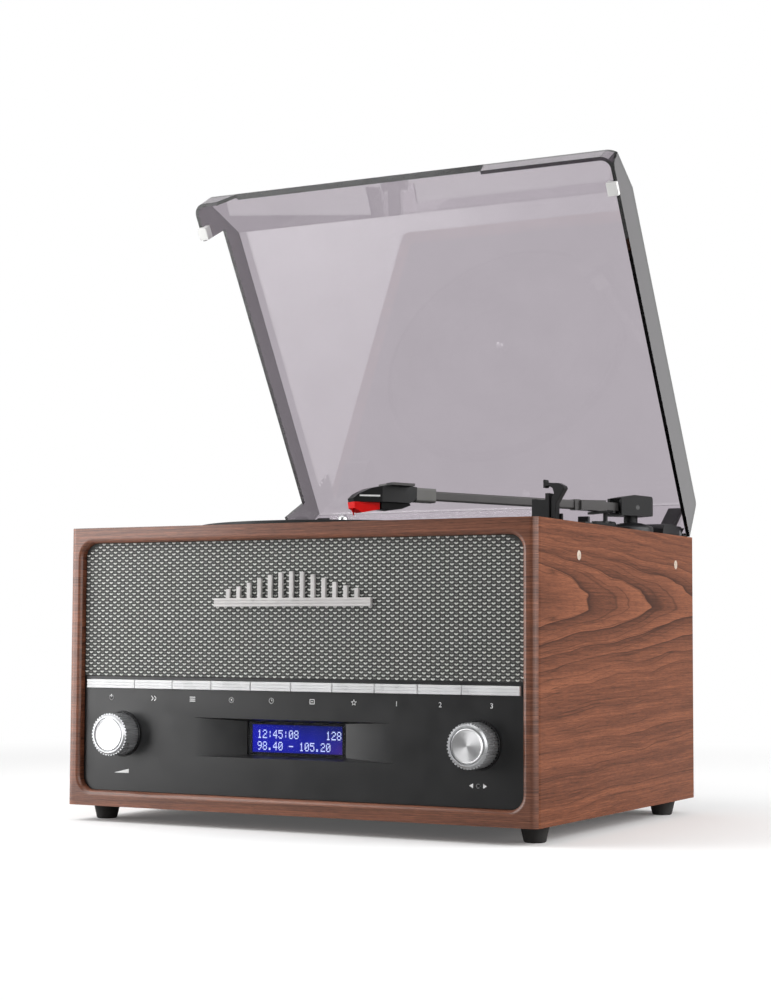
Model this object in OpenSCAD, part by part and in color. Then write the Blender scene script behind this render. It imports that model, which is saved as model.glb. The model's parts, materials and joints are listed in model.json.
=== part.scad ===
// Stereo music centre: wooden case, record deck with tonearm, radio panel, tinted lid.
// Millimetres, +Z up, +Y towards the back. The origin is on the surface under the feet,
// at the middle of the whole outline with the lid open.

/* [Case] */
// Width of the wooden case
case_w = 326; // [316:1:350]
// Depth of the wooden case
case_d = 260; // [256:1:290]
// Height of the wooden case without its feet
case_h = 175; // [170:1:200]
// Thickness of the veneered boards
board = 9.5; // [8:0.5:11]
// Round on the front upright edges of the case
edge_round = 5; // [2:0.5:8]
// Corner radius of the front opening
mouth_round = 9; // [6:0.5:12]
// Round-over on the front opening's edge
mouth_ease = 3; // [1.5:0.5:4]
// Depth of the wooden rail in front of the deck
front_rail = 12; // [10:0.5:16]
// Thickness of the battens under the deck
batten = 8; // [6:0.5:10]
// Thickness of the back panel
back_t = 3; // [2:0.5:4]
// How far the back panel lies inside the case
back_inset = 3; // [2:0.5:6]
// Height of a foot
foot_h = 10; // [6:0.5:14]
// Top radius of a foot
foot_r = 8.5; // [6:0.5:11]
// Distance of a foot's axis from the side of the case
foot_side = 13; // [11:0.5:18]
// Distance of a foot's axis from the front or back of the case
foot_end = 26; // [18:1:40]

/* [Front panel] */
// How far the front panel and grille lie behind the case front
recess = 5; // [4:0.5:7]
// Thickness of the front panel
panel_t = 3; // [2.5:0.5:4]
// Height of the front panel's top edge above the case's underside
panel_top = 81.2; // [80.6:0.2:84]
// Height of the middle of the button row
button_z = 76.5; // [75:0.25:77]
// Height of one button
button_h = 5.4; // [4.5:0.1:6.4]
// Number of middle buttons
middle_buttons = 8; // [8:1:8]
// Pitch of the middle buttons
button_pitch = 28.5; // [26:0.25:29]
// Distance of the button row's ends from the sides of the front opening
row_side = 2.5; // [2:0.5:8]
// How far the buttons stand out of the panel
button_out = 1.5; // [1:0.1:2.5]
// Travel of a button
button_travel = 1.2; // [0.6:0.1:1.2]
// Distance of each knob's axis from the side of the front opening
knob_side = 29.5; // [27:0.5:38]
// Height of the knob axes
knob_z = 45.3; // [40:0.5:48]
// Radius of a knob
knob_r = 13.2; // [11:0.2:15]
// How far a knob stands out of the panel
knob_out = 15; // [12:0.5:18]
// Number of teeth round a knob
knob_teeth = 40; // [24:4:48]
// Travel of the tuning knob when pressed
press_travel = 0.6; // [0.3:0.1:0.8]
// Half width of the display recess at the panel's face
scoop_half = 69.5; // [60:0.5:78]
// Lowest height of the display recess
scoop_low = 33; // [30:0.5:34]
// Highest height of the display recess
scoop_high = 56.6; // [56:0.2:60]
// Half width of the display window
window_half = 34.5; // [28:0.5:44]
// Depth of the display recess
scoop_deep = 5.5; // [4:0.5:7]

/* [Speakers] */
// Thickness of the cloth-covered grille
grille_t = 3; // [2:0.5:4]
// Thickness of the speaker board
baffle_t = 9; // [6:0.5:12]
// Distance of each speaker's axis from the inside of the case's side
speaker_side = 61.5; // [48:0.5:68]
// Width of the speaker board above and below the speaker openings
speaker_edge = 8.15; // [7.5:0.05:15]
// Half length of the emblem bar on the grille
emblem_half = 55; // [40:1:70]
// Height of the emblem bar
emblem_h = 5.2; // [4:0.2:8]

/* [Record deck] */
// Thickness of the deck plate
deck_t = 3.5; // [2.5:0.5:5]
// Distance of the platter's axis from the left side of the case
platter_side = 124.5; // [121:0.5:127]
// Distance of the platter's rim behind the case front
platter_front = 37; // [35:0.5:44]
// Distance of the platter's rim before the back of the case
platter_rear = 27; // [25:0.5:34]
// Height of the platter's mat above the deck
mat_up = 4.6; // [3.5:0.2:6]
// Thickness of the platter's mat
mat_t = 2; // [1.5:0.25:3]
// Depth of the platter's well in the deck
well_deep = 9.5; // [9:0.5:11]
// Radius of the spindle
spindle_r = 3.6; // [3.5:0.05:3.65]
// How far the spindle stands above the mat
spindle_up = 9; // [7:0.5:12]
// Distance of the drive ring under the platter from the platter's rim
drive_in = 38; // [34:0.5:48]
// Radius of the motor pulley
pulley_r = 6; // [4:0.5:7]
// Distance of the motor's axis from the platter's rim
motor_in = 18; // [14:0.5:20]

/* [Tonearm] */
// Distance of the arm's pivot from the right side of the case
arm_side = 27; // [26:0.5:29]
// Distance of the arm's pivot from the back of the case
arm_back = 45; // [42:1:48]
// Length from the pivot to the stylus
arm_l = 204.4; // [200:0.2:206]
// Angle of the arm over the record, inwards from straight forward
arm_in = 36.9; // [34:0.1:40]
// Angle that the arm rises towards its head
arm_rise = 1.15; // [0.8:0.05:1.5]
// Height of the arm's level pivot above the deck
arm_up = 18; // [17.5:0.25:20]
// Width of the arm tube
tube_w = 5; // [4:0.2:5.2]
// Height of the arm tube
tube_h = 6; // [5:0.2:6.2]
// Width of the arm's bearing housing
yoke_w = 18; // [16:0.5:20]
// Angle of the parked arm, inwards from straight forward
park_in = 6.2; // [5:0.1:8]
// Distance of the rest from the arm's pivot
rest_out = 115.7; // [110:0.5:120]

/* [Lid] */
// Angle at which the lid stands open
lid_open = 58.9; // [45:0.1:75]
// Height of the lid's walls
lid_h = 38; // [35:0.5:45]
// Thickness of the clear plastic
lid_t = 2.5; // [2:0.1:3]
// Distance of the lid's rim from the side of the case
lid_side_gap = 5; // [5:0.5:11]
// Slope of the lid's walls, in millimetres inwards for each millimetre up
lid_draft = 0.145; // [0.08:0.005:0.18]
// How far the closed lid stands in front of the case
lid_over = 2.3; // [-2:0.1:5]
// Height at which the lid's front starts to slope back
lid_nose = 14; // [10:0.5:18]
// Length of the lid's sloping nose
lid_slope = 34.3; // [26:0.1:45]
// Height of the opening in the lid's left wall, where a record passes
slot_left_h = 23; // [18:0.5:26]
// Height of the hinge axis above the case top
hinge_up = 3.5; // [3.5:0.25:5]
// Distance of the hinge axis behind the case
hinge_out = 8; // [7:0.5:10]
// Radius of a hinge pin
pin_r = 2; // [1.5:0.1:2.2]

/* [Hidden] */
$fn = 48;
// Clearance between parts that only lie beside each other
gap = 0.2;
// Clearance between fixed parts and parts that slide or swing past them
free = 0.3;
// Radial clearance of a shaft in its bearing
run = 0.05;
// Overlap used only inside one piece, to join or cut cleanly
eps = 0.01;

in_half = case_w/2 - board;
in_low = board;
in_high = case_h - board;
deck_low = case_h - deck_t;
// Platter, its drive and the arm's pivot, from the sides, front and back of the case
platter_r = (case_d - platter_front - platter_rear)/2;
px = -case_w/2 + platter_side;
py = platter_front + platter_r;
drive_r = platter_r - drive_in;
motor_out = platter_r - motor_in;
arm_x = case_w/2 - arm_side;
arm_y = case_d - arm_back;
knob_x = in_half - knob_side;
speaker_x = in_half - speaker_side;
mat_top = case_h + mat_up;
platter_top = mat_top - mat_t;
well_r = platter_r + 4;
well_floor = case_h - well_deep;
well_t = 2.5;
rail_gap = front_rail + gap;
back_y = case_d - back_inset - back_t;
// Battens run down the sides to where the side screws bite, and a rail crosses the back
batten_low = case_h - 28;
rail_t = 12;
hinge_y = case_d + hinge_out;
hinge_z = case_h + hinge_up;
lid_half = case_w/2 - lid_side_gap;
lid_l = hinge_y + lid_over;
lid_flat = lid_l - lid_slope;
// Hinge places along X: a bracket's ears hold the lid's knuckle between them
ear_side = 27;
ear_in = lid_half - ear_side;
ear_t = 5;
knuckle_w = 10.4;
ear_out = ear_in + 2*ear_t + knuckle_w + 2*gap;
ear_r = 4.5;
knuckle_r = 4;
// Rear wall of the lid, seen from the side
lid_rear = -2.8;
// The middle of the outline along Y, from the knob fronts to the open lid's back edge
knob_front = recess - knob_out;
lid_back_round = 3;
lid_back_s = lid_rear + lid_draft*lid_h + lid_back_round;
lid_back_h = lid_h - lid_back_round;
lid_reach = hinge_y - lid_back_s*cos(lid_open) + lid_back_h*sin(lid_open) + lid_back_round;
origin_y = (knob_front - 0.3 + lid_reach)/2;

module placed() {
    translate([0, -origin_y, foot_h])
        children();
}

// Mirrors its children to both sides of the middle plane
module both_sides() {
    children();
    mirror([1, 0, 0])
        children();
}

// A rectangle about the origin with true round corners
module round_rect(w, h, r) {
    square([w - 2*r, h], center = true);
    square([w, h - 2*r], center = true);
    for (sx = [-1, 1], sy = [-1, 1])
        translate([sx*(w/2 - r), sy*(h/2 - r)])
            circle(r);
}

// An upright slab standing in the X-Z plane, drawn as a 2-D shape, from y to y + t
module facing(y, t) {
    translate([0, y + t, 0])
        rotate([90, 0, 0])
            linear_extrude(t)
                children();
}

// A shape drawn in the Y-Z plane, running along X from x to x + t
module sideways(x, t) {
    translate([x, 0, 0])
        rotate([90, 0, 90])
            linear_extrude(t)
                children();
}

// A cylinder along +Y
module rod_y(x, y, z, r, l) {
    translate([x, y, z])
        rotate([-90, 0, 0])
            cylinder(h = l, r = r);
}

// ---- Case ----

mouth_w = 2*in_half;
mouth_h = in_high - in_low;
mouth_z = (in_high + in_low)/2;

// The wedge of wood that a round-over of radius r takes off one edge
module ease_profile(r) {
    difference() {
        translate([-1, -1])
            square(r + 1);
        translate([r, r])
            circle(r);
    }
}

// Cuts the round-over along the four sides and corners of the front opening
module mouth_easing() {
    r = mouth_ease;
    rc = mouth_round;
    for (side = [0, 1]) {
        along = side == 0 ? mouth_w - 2*rc : mouth_h - 2*rc;
        across = side == 0 ? mouth_h/2 : mouth_w/2;
        for (turn = [0, 180])
            translate([0, 0, mouth_z])
                rotate([0, turn + 90*side, 0])
                    translate([-along/2, 0, across])
                        rotate([90, 0, 90])
                            linear_extrude(along)
                                mirror([1, -1])
                                    ease_profile(r);
    }
    for (i = [0 : 3]) {
        sx = (i == 0 || i == 3) ? 1 : -1;
        sz = i < 2 ? 1 : -1;
        translate([sx*(mouth_w/2 - rc), 0, mouth_z + sz*(mouth_h/2 - rc)])
            rotate([-90, 0, 0])
                rotate([0, 0, [270, 180, 90, 0][i]])
                    rotate_extrude(angle = 90)
                        translate([rc, 0])
                            ease_profile(r);
    }
}

module case_shell() {
    color("#8a5a44")
    placed() difference() {
        union() {
            case_boards();
            // Battens under the deck's sides, a rail under its back edge, blocks at the bottom
            both_sides()
                translate([in_half - batten, front_rail + batten, batten_low])
                    cube([batten + eps, back_y - front_rail - batten, deck_low - batten_low]);
            translate([-in_half, back_y - rail_t, batten_low])
                cube([2*in_half, rail_t, deck_low - batten_low]);
            both_sides()
                translate([in_half - 2*batten, back_y - rail_t, in_low - eps])
                    cube([2*batten + eps, rail_t, 2*batten]);
        }
        for (p = back_screws)
            rod_y(p[0], back_y - 10, p[1], screw_r, 20);
        both_sides()
            for (y = side_screw_y)
                translate([case_w/2 - side_screw_l, y, side_screw_z])
                    rotate([0, 90, 0])
                        cylinder(h = side_screw_l + 1, r = side_screw_r);
    }
}

module case_boards() {
    difference() {
        linear_extrude(case_h) {
            translate([-case_w/2, edge_round])
                square([case_w, case_d - edge_round]);
            translate([-case_w/2 + edge_round, 0])
                square([case_w - 2*edge_round, case_d]);
            for (s = [-1, 1])
                translate([s*(case_w/2 - edge_round), edge_round])
                    circle(edge_round);
        }
        // Front opening
        facing(-1, recess + panel_t + 20)
            translate([0, mouth_z])
                round_rect(mouth_w, mouth_h, mouth_round);
        mouth_easing();
        // Inside, open at the back
        translate([-in_half, recess + 2, in_low])
            cube([2*in_half, case_d, mouth_h]);
        // Open top behind the front rail, where the deck drops in
        translate([-in_half, front_rail, deck_low])
            cube([2*in_half, case_d, deck_t + 1]);
        translate([-in_half, front_rail + batten, in_high - 1])
            cube([2*in_half, case_d, board]);
    }
}

screw_r = 1.4;
screw_head_r = 3;
screw_head_t = 1.8;
// Places of the back panel's screws, as X and Z
back_screws = [
    [-in_half + 7, in_low + 8], [in_half - 7, in_low + 8],
    [-in_half + 7, deck_low - 10], [0, deck_low - 10], [in_half - 7, deck_low - 10]
];

module rear_panel() {
    color("#1d1d1f")
    placed() difference() {
        facing(back_y, back_t)
            translate([0, (in_low + deck_low)/2])
                square([2*in_half - 2*gap, deck_low - in_low - 2*gap], center = true);
        // Rows of cooling slots
        for (i = [0 : 13], s = [-1, 1])
            facing(back_y - 1, back_t + 2)
                translate([s*75 + (i - 6.5)*6, 125])
                    round_rect(2.6, 36, 1.2);
        for (p = back_screws)
            rod_y(p[0], back_y - 1, p[1], screw_r, back_t + 2);
        // Socket holes
        for (i = [0 : 1])
            rod_y(socket_x + i*socket_pitch, back_y - 1, socket_z, socket_r, back_t + 2);
        for (i = [0 : 1])
            rod_y(jack_x + i*socket_pitch, back_y - 1, socket_z, jack_r, back_t + 2);
        rod_y(inlet_x, back_y - 1, socket_z, inlet_r, back_t + 2);
    }
}

// Screws that hold the back panel on the blocks and the rail
module case_screws() {
    color("#2b2b2e")
    placed()
        for (p = back_screws)
            translate([p[0], back_y + back_t, p[1]])
                rotate([90, 0, 0])
                    difference() {
                        union() {
                            cylinder(h = back_t + 10, r = screw_r);
                            translate([0, 0, -screw_head_t])
                                cylinder(h = screw_head_t, r = screw_head_r);
                        }
                        // Cross slot
                        for (a = [0, 90])
                            rotate([0, 0, a])
                                translate([0, 0, -screw_head_t])
                                    cube([3.4, 0.7, 1.6], center = true);
                    }
}

side_screw_y = [61, case_d - 33];
side_screw_z = case_h - 19.7;
side_screw_r = 1.9;
side_screw_l = board + 6;

// Two small screws in each side board, just below the deck
module side_screws() {
    color("#c8c8c8")
    placed() both_sides()
        for (y = side_screw_y)
            translate([case_w/2 - side_screw_l + 0.15, y, side_screw_z])
                rotate([0, 90, 0])
                    difference() {
                        cylinder(h = side_screw_l, r = side_screw_r);
                        translate([0, 0, side_screw_l - 0.8])
                            cylinder(h = 1, r = 0.9, $fn = 6);
                    }
}

module feet() {
    color("#262626")
    placed()
        for (x = [-1, 1]*(case_w/2 - foot_side), y = [foot_end, case_d - foot_end])
            translate([x, y, -foot_h])
                rotate_extrude()
                    polygon([
                        [0, 0], [foot_r - 2.6, 0], [foot_r - 2, 0.6], [foot_r, foot_h - 0.8],
                        [foot_r, foot_h], [0, foot_h]
                    ]);
}

// ---- Deck ----

motor_angle = 215;
mx = px + motor_out*cos(motor_angle);
my = py + motor_out*sin(motor_angle);
boss_r = 9;
boss_deep = 16;
switch_x = case_w/2 - 20;
switch_y = arm_y - 98;
switch_travel = 8;
lift_r = 28;
lift_at = -22;
base_r = 15;

module top_deck() {
    color("#1b1b1d")
    placed() difference() {
        union() {
            translate([-in_half + gap, rail_gap, deck_low])
                cube([2*in_half - 2*gap, case_d - rail_gap, deck_t]);
            translate([px, py, well_floor - well_t])
                cylinder(h = well_deep + well_t - eps, r = well_r + well_t, $fn = 96);
            translate([px, py, well_floor - boss_deep])
                cylinder(h = boss_deep + 1.8, r = boss_r);
        }
        difference() {
            translate([px, py, well_floor])
                cylinder(h = well_deep + 1, r = well_r, $fn = 96);
            translate([px, py, well_floor - 1])
                cylinder(h = 1 + 1.8, r = boss_r);
        }
        translate([px, py, well_floor - boss_deep - 1])
            cylinder(h = boss_deep + 4, r = spindle_r);
        // Hole for the motor's shaft
        translate([mx, my, well_floor - well_t - 1])
            cylinder(h = well_t + 2, r = 3);
        // Slot under the speed switch
        translate([switch_x - 1.5, switch_y - 3, deck_low - 1])
            cube([3, switch_travel + 6, deck_t + 2]);
    }
}

module platter() {
    color("#2a2a2c")
    placed() translate([px, py, 0]) difference() {
        rotate_extrude($fn = 120)
            polygon([
                [0, well_floor + 2], [11, well_floor + 2], [11, platter_top - 3],
                [drive_r - 2.5, platter_top - 3], [drive_r - 2.5, well_floor + 2.5],
                [drive_r, well_floor + 2.5], [drive_r, platter_top - 3],
                [platter_r - 3, platter_top - 3], [platter_r - 3, well_floor + 2.5],
                [platter_r - 0.8, well_floor + 2.5], [platter_r, well_floor + 3.3],
                [platter_r, platter_top - 1], [platter_r - 1, platter_top], [0, platter_top]
            ]);
        cylinder(h = case_h*2, r = spindle_r + run);
    }
}

module platter_mat() {
    color("#101010")
    placed() translate([px, py, platter_top]) difference() {
        cylinder(h = mat_t, r = platter_r - 2, $fn = 120);
        translate([0, 0, -1])
            cylinder(h = mat_t + 2, r = spindle_r + run);
        // Shallow grooves that let air out from under a record
        for (r = [32 : 12 : platter_r - 8])
            translate([0, 0, mat_t - 0.5])
                difference() {
                    cylinder(h = 1, r = r + 1.2, $fn = 96);
                    translate([0, 0, -1])
                        cylinder(h = 3, r = r, $fn = 96);
                }
    }
}

// Fixed spindle: a shaft in the deck's boss, a fine groove level with the mat, a domed end
groove_h = 0.5;
groove_up = 0.1;

module spindle() {
    low = well_floor - boss_deep;
    groove = mat_top + groove_up - groove_h;
    color("#d5d5d5")
    placed() translate([px, py, 0])
        rotate_extrude() {
            translate([0, low])
                square([spindle_r, groove - low]);
            translate([0, groove - eps])
                square([spindle_r - 0.3, groove_h + 2*eps]);
            translate([0, groove + groove_h])
                square([spindle_r, spindle_up - spindle_r - groove_up]);
            translate([0, mat_top + spindle_up - spindle_r])
                intersection() {
                    circle(spindle_r);
                    square(spindle_r);
                }
        }
}

belt_low = well_floor + 3;
belt_h = 4;
belt_t = 1;

// The outline of a belt of reach extra round the drive ring and the pulley
module belt_outline(extra) {
    a = drive_r + extra;
    b = pulley_r + extra;
    lean = acos((a - b)/motor_out);
    circle(a, $fn = 96);
    translate([motor_out, 0])
        circle(b);
    polygon([
        [a*cos(lean), a*sin(lean)], [motor_out + b*cos(lean), b*sin(lean)],
        [motor_out + b*cos(lean), -b*sin(lean)], [a*cos(lean), -a*sin(lean)]
    ]);
}

module drive_belt() {
    color("#0c0c0c")
    placed() translate([px, py, belt_low])
        rotate([0, 0, motor_angle])
            linear_extrude(belt_h)
                difference() {
                    belt_outline(run + belt_t);
                    belt_outline(run);
                }
}

motor_r = 16;
motor_h = 22;

module motor() {
    color("#b9babd")
    placed() translate([mx, my, well_floor - well_t - motor_h]) difference() {
        union() {
            cylinder(h = motor_h - 1, r = motor_r);
            cylinder(h = motor_h, r = 5);
            for (a = [0, 180])
                rotate([0, 0, a])
                    translate([motor_r - 3, -4, motor_h - 2])
                        cube([9, 8, 2]);
        }
        translate([0, 0, motor_h - 12])
            cylinder(h = 20, r = 1 + run);
    }
}

module motor_pulley() {
    color("#c9a45c")
    placed() translate([mx, my, well_floor - well_t - 11]) {
        cylinder(h = 20, r = 1);
        translate([0, 0, well_t + 12]) {
            cylinder(h = 8 - 1.5, r = pulley_r);
            for (z = [0, 6.5])
                translate([0, 0, z])
                    cylinder(h = 1, r = pulley_r + 1.2);
        }
    }
}

module speed_switch() {
    color("#222224")
    placed() translate([switch_x, switch_y, case_h]) {
        translate([-3.5, -6, free])
            cube([7, 12, 3]);
        translate([-3.5, -1.5, free + 3 - eps])
            cube([7, 3, 3.5]);
        translate([-1.2, -2, -deck_t - free - 2])
            cube([2.4, 4, deck_t + 2*free + 2 + eps]);
        // Foot that keeps the slider on the deck
        translate([-4, -4, -deck_t - free - 2])
            cube([6, 8, 2]);
    }
}

// ---- Tonearm ----

arm_z = case_h + arm_up;

// The arm's own frame: it points to -Y, with its upright pivot on the Z axis
module arm_plan(angle = arm_in) {
    translate([arm_x, arm_y, 0])
        rotate([0, 0, -angle])
            children();
}

// The lifting arm's frame: level with the tube, with its cross pin at the origin
module arm_line() {
    arm_plan()
        translate([0, 0, arm_z])
            rotate([-arm_rise, 0, 0])
                children();
}

base_top = case_h + 7.8;
lift_rod_r = 1.5;
lever_z = case_h + 5;
lever_r = 1;

module tonearm_base() {
    color("#202022")
    placed() difference() {
        union() {
            translate([arm_x, arm_y, case_h])
                rotate_extrude()
                    polygon([
                        [0, 0], [base_r, 0], [base_r, 4.6], [base_r - 1, 5.6], [base_r - 4, 6.8],
                        [7, 7.8], [0, 7.8]
                    ]);
            // Post of the cueing lift
            arm_plan(arm_in + lift_at)
                translate([0, -lift_r, case_h]) {
                    cylinder(h = 8, r = 4);
                    translate([-3, 0, 0])
                        cube([6, lift_r - base_r + 2, 3]);
                }
        }
        translate([arm_x, arm_y, case_h + 1])
            cylinder(h = 10, r = 3 + run);
        arm_plan(arm_in + lift_at)
            translate([0, -lift_r, case_h + 0.5]) {
                cylinder(h = 10, r = lift_rod_r + run);
                translate([2, 0, lever_z - case_h - 0.5])
                    rotate([0, 90, 0])
                        cylinder(h = 4, r = lever_r + run);
            }
    }
}

yoke_low = case_h + 12.4;
yoke_back = 13;
yoke_front = -12.5;
yoke_chamfer = 2;
tail_w = 10;
pin_yoke_r = 1.5;

module arm_yoke() {
    color("#232325")
    placed() arm_plan() {
        difference() {
            translate([-yoke_w/2, 0, 0])
                sideways(0, yoke_w)
                    polygon([
                        [yoke_front, yoke_low], [yoke_front, case_h + 24.3],
                        [yoke_front + 10, case_h + 26.2], [yoke_back - 2.5, case_h + 25.4],
                        [yoke_back - 0.6, case_h + 24.7], [yoke_back, case_h + 23.2],
                        [yoke_back, yoke_low + 0.8], [yoke_back - 0.8, yoke_low]
                    ]);
            // Chamfers on the rear upright edges
            for (s = [-1, 1])
                translate([s*yoke_w/2, yoke_back, yoke_low - 1])
                    rotate([0, 0, 45])
                        cube([yoke_chamfer*sqrt(2), yoke_chamfer*sqrt(2), 60], center = true);
            // Slot for the arm's tail
            translate([-tail_w/2 - free, yoke_front - 1, yoke_low + 1.2])
                cube([tail_w + 2*free, 6.8 - yoke_front, 10.6]);
            translate([-yoke_w, 0, arm_z])
                rotate([0, 90, 0])
                    cylinder(h = 2*yoke_w, r = pin_yoke_r);
        }
        translate([0, 0, base_top + gap])
            cylinder(h = yoke_low - base_top - gap + eps, r = 4.6);
        translate([0, 0, case_h + 1.3])
            cylinder(h = yoke_low - case_h - 1, r = 3);
    }
}

module arm_pin() {
    color("#c2c2c4")
    placed() arm_plan()
        translate([-yoke_w/2, 0, arm_z])
            rotate([0, 90, 0])
                cylinder(h = yoke_w, r = pin_yoke_r);
}

// Lengths of the headshell, from the stylus back, and of the collar that carries it
head_l = 43.9;
collar_l = 13.5;
head_back = arm_l - head_l;
tube_front = head_back - collar_l;
tube_back = 40.6;

// The arm's frame with its origin above the stylus's tip: Y counts back along the arm
module stylus_line() {
    arm_line()
        translate([0, -arm_l, 0])
            children();
}

module arm_tube() {
    color("#2c2c2f")
    placed() arm_line() difference() {
        union() {
            // Tail that swings on the cross pin, with a slimmer neck in front of the housing
            sideways(-tail_w/2, tail_w) {
                circle(3.5);
                polygon([
                    [0, -3.5], [-12.4, -2.6], [-21.8, -2.6], [-21.8, -3.6], [-tube_back, -3.1],
                    [-tube_back, 3.1], [-21.8, 3.8], [-21.8, 2.6], [-12.4, 2.6], [0, 3.5]
                ]);
            }
            // Ring at the tube's back end
            translate([-tube_w/2 - 0.8, -tube_back - 4, -tube_h/2 - 0.5])
                cube([tube_w + 1.6, 4 + eps, tube_h + 1]);
            // Tube, rounded along its edges
            translate([0, -tube_back - 3.9, 0])
                rotate([90, 0, 0])
                    linear_extrude(tube_front - tube_back - 3)
                        round_rect(tube_w, tube_h, 1.2);
            // Collar that carries the headshell
            translate([0, -tube_front, 0])
                rotate([90, 0, 0])
                    linear_extrude(collar_l)
                        round_rect(tube_w + 5, tube_h + 3, 1.5);
        }
        translate([-tail_w, 0, 0])
            rotate([0, 90, 0])
                cylinder(h = 2*tail_w, r = pin_yoke_r + run);
    }
}

head_w = 17;
// Where the headshell's tapered nose starts, from the stylus back
nose_l = 18.4;

// Side outline of the headshell: a flat back, then a nose that bows down over the stylus
module head_side() {
    polygon([
        [head_l, -2.6], [head_l, 4.6], [head_l - 4.5, 4.9], [nose_l + 2, 4.4], [nose_l - 7, 2.2],
        [3.9, -1.4], [0.4, -4.4], [0.8, -6.6], [nose_l, -6.2], [nose_l + 0.5, -5.9],
        [head_l - 5.5, -5.9]
    ]);
}

module headshell() {
    color("#19191b")
    placed() stylus_line() {
        intersection() {
            sideways(-head_w/2, head_w)
                head_side();
            translate([0, 0, -20])
                linear_extrude(40)
                    polygon([
                        [-5, head_l], [-head_w/2, head_l - 10], [-head_w/2, nose_l], [-4, -0.6],
                        [4, -0.6], [head_w/2, nose_l], [head_w/2, head_l - 10], [5, head_l]
                    ]);
        }
        // Finger lift on the outer side, with its raised pad
        translate([head_w/2 - 3, nose_l + 4, 4.4])
            cube([3 + 6, 15.5, 1.6]);
        translate([-head_w/2, nose_l + 5, 4.2])
            cube([head_w, 14, 1.9]);
    }
}

module cartridge() {
    color("#151516")
    placed() stylus_line()
        sideways(-6, 12)
            polygon([
                [head_l - 4.5, -7.1], [head_l - 5.5, -5.9], [nose_l + 0.5, -5.9],
                [nose_l + 0.8, -10.4], [nose_l + 8, -10.8], [nose_l + 15, -9.6]
            ]);
}

module stylus() {
    color("#c2201a")
    placed() stylus_line() {
        sideways(-5, 10)
            polygon([
                [nose_l, -6.2], [0.8, -6.6], [1.4, -10.5], [6.4, -13.2], [nose_l, -10.6]
            ]);
        translate([0, 3, -15])
            rotate([14, 0, 0])
                cylinder(h = 4, r1 = 0.3, r2 = 0.8, $fn = 24);
    }
}

rest_w = 12.8;
rest_top = case_h + 20.4;
rest_floor = case_h + 16.4;
rest_lip = case_h + 17;
clip_x = rest_w/2 + 1.9;
clip_z = case_h + 4;
clip_pin_r = 1.2;
rest_t = 8;
clip_t = 4.7;

module rest_frame() {
    arm_plan(park_in)
        translate([0, -rest_out, 0])
            children();
}

module arm_rest() {
    color("#252527")
    placed() rest_frame() difference() {
        union() {
            translate([-rest_w/2, -rest_t/2, case_h])
                cube([rest_w, rest_t, rest_top - case_h]);
            translate([-rest_w/2 - 1.5, -rest_t/2 - 1.5, case_h])
                cube([rest_w + 3, rest_t + 3, 2]);
            // Ear and pin of the clip
            translate([rest_w/2 - 1, rest_t/2 - 2, case_h])
                cube([6, 2, 8]);
            rod_y(clip_x, -rest_t/2 + 1, clip_z, clip_pin_r, rest_t - 2);
        }
        // Saddle for the tube, open above and low on the record's side
        translate([-3.1, -rest_t, rest_floor])
            cube([6.2, 2*rest_t, 20]);
        translate([-rest_w, -rest_t, rest_lip])
            cube([rest_w, 2*rest_t, 20]);
        // Relief beside the clip
        translate([rest_w/2 - 0.5, -rest_t/2 - 0.01, case_h + 2.3])
            cube([0.51, rest_t - 2, 30]);
    }
}

// Outline of the clip: a stem, a hook over the saddle and a finger tab at its end
module clip_outline() {
    translate([clip_x, case_h])
        polygon([
            [-1.7, clip_z - case_h], [-1.5, 17], [0.4, 19.8], [-0.6, 23.2], [-3, 24.9],
            [-5.1, 24.7], [-6, 23.8], [-7.2, 23.8], [-7.2, 28.9], [-5.9, 28.9], [-5.6, 27.4],
            [-2.9, 26.9], [3.8, 26.4], [7.4, 24.4], [7.8, 22.9], [2, 14], [1.7, clip_z - case_h]
        ]);
}

module rest_clip() {
    color("#1f1f21")
    placed() rest_frame()
        difference() {
            union() {
                facing(-rest_t/2 + 1, clip_t)
                    clip_outline();
                rod_y(clip_x, -rest_t/2 + 1, clip_z, 1.9, clip_t);
            }
            rod_y(clip_x, -rest_t, clip_z, clip_pin_r + run, 2*rest_t);
        }
}

lift_span = [-13, 36];

module cue_lift() {
    color("#2a2a2c")
    placed() {
        z = arm_z + lift_r*sin(arm_rise) - 3.5 - free - 1.6;
        arm_plan(arm_in + lift_at)
            translate([0, -lift_r, case_h + 1])
                cylinder(h = z - case_h - 1 + eps, r = lift_rod_r);
        // Curved bar under the arm's whole swing
        translate([arm_x, arm_y, z])
            rotate([0, 0, -90 - arm_in + lift_span[0]])
                rotate_extrude(angle = lift_span[1] - lift_span[0])
                    translate([lift_r - 2, 0])
                        square([4, 1.6]);
    }
}

module cue_lever() {
    color("#262628")
    placed() arm_plan(arm_in + lift_at)
        translate([0, -lift_r, lever_z]) {
            translate([4 + free, 0, 0])
                rotate([0, 90, 0])
                    cylinder(h = 3, r = 2.5);
            translate([2.2, 0, 0])
                rotate([0, 90, 0])
                    cylinder(h = 3, r = lever_r);
            translate([4 + free, -15, -1.2])
                cube([3, 15, 2.4]);
            translate([4 + free - 0.5, -20, -1.6])
                cube([4, 6, 3.6]);
        }
}

// ---- Lid ----

// Places its children, drawn closed about the hinge axis: X right, Y along the lid
// towards the back, Z up
module lid_frame() {
    translate([0, hinge_y, hinge_z])
        rotate([-lid_open, 0, 0])
            children();
}

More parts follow.
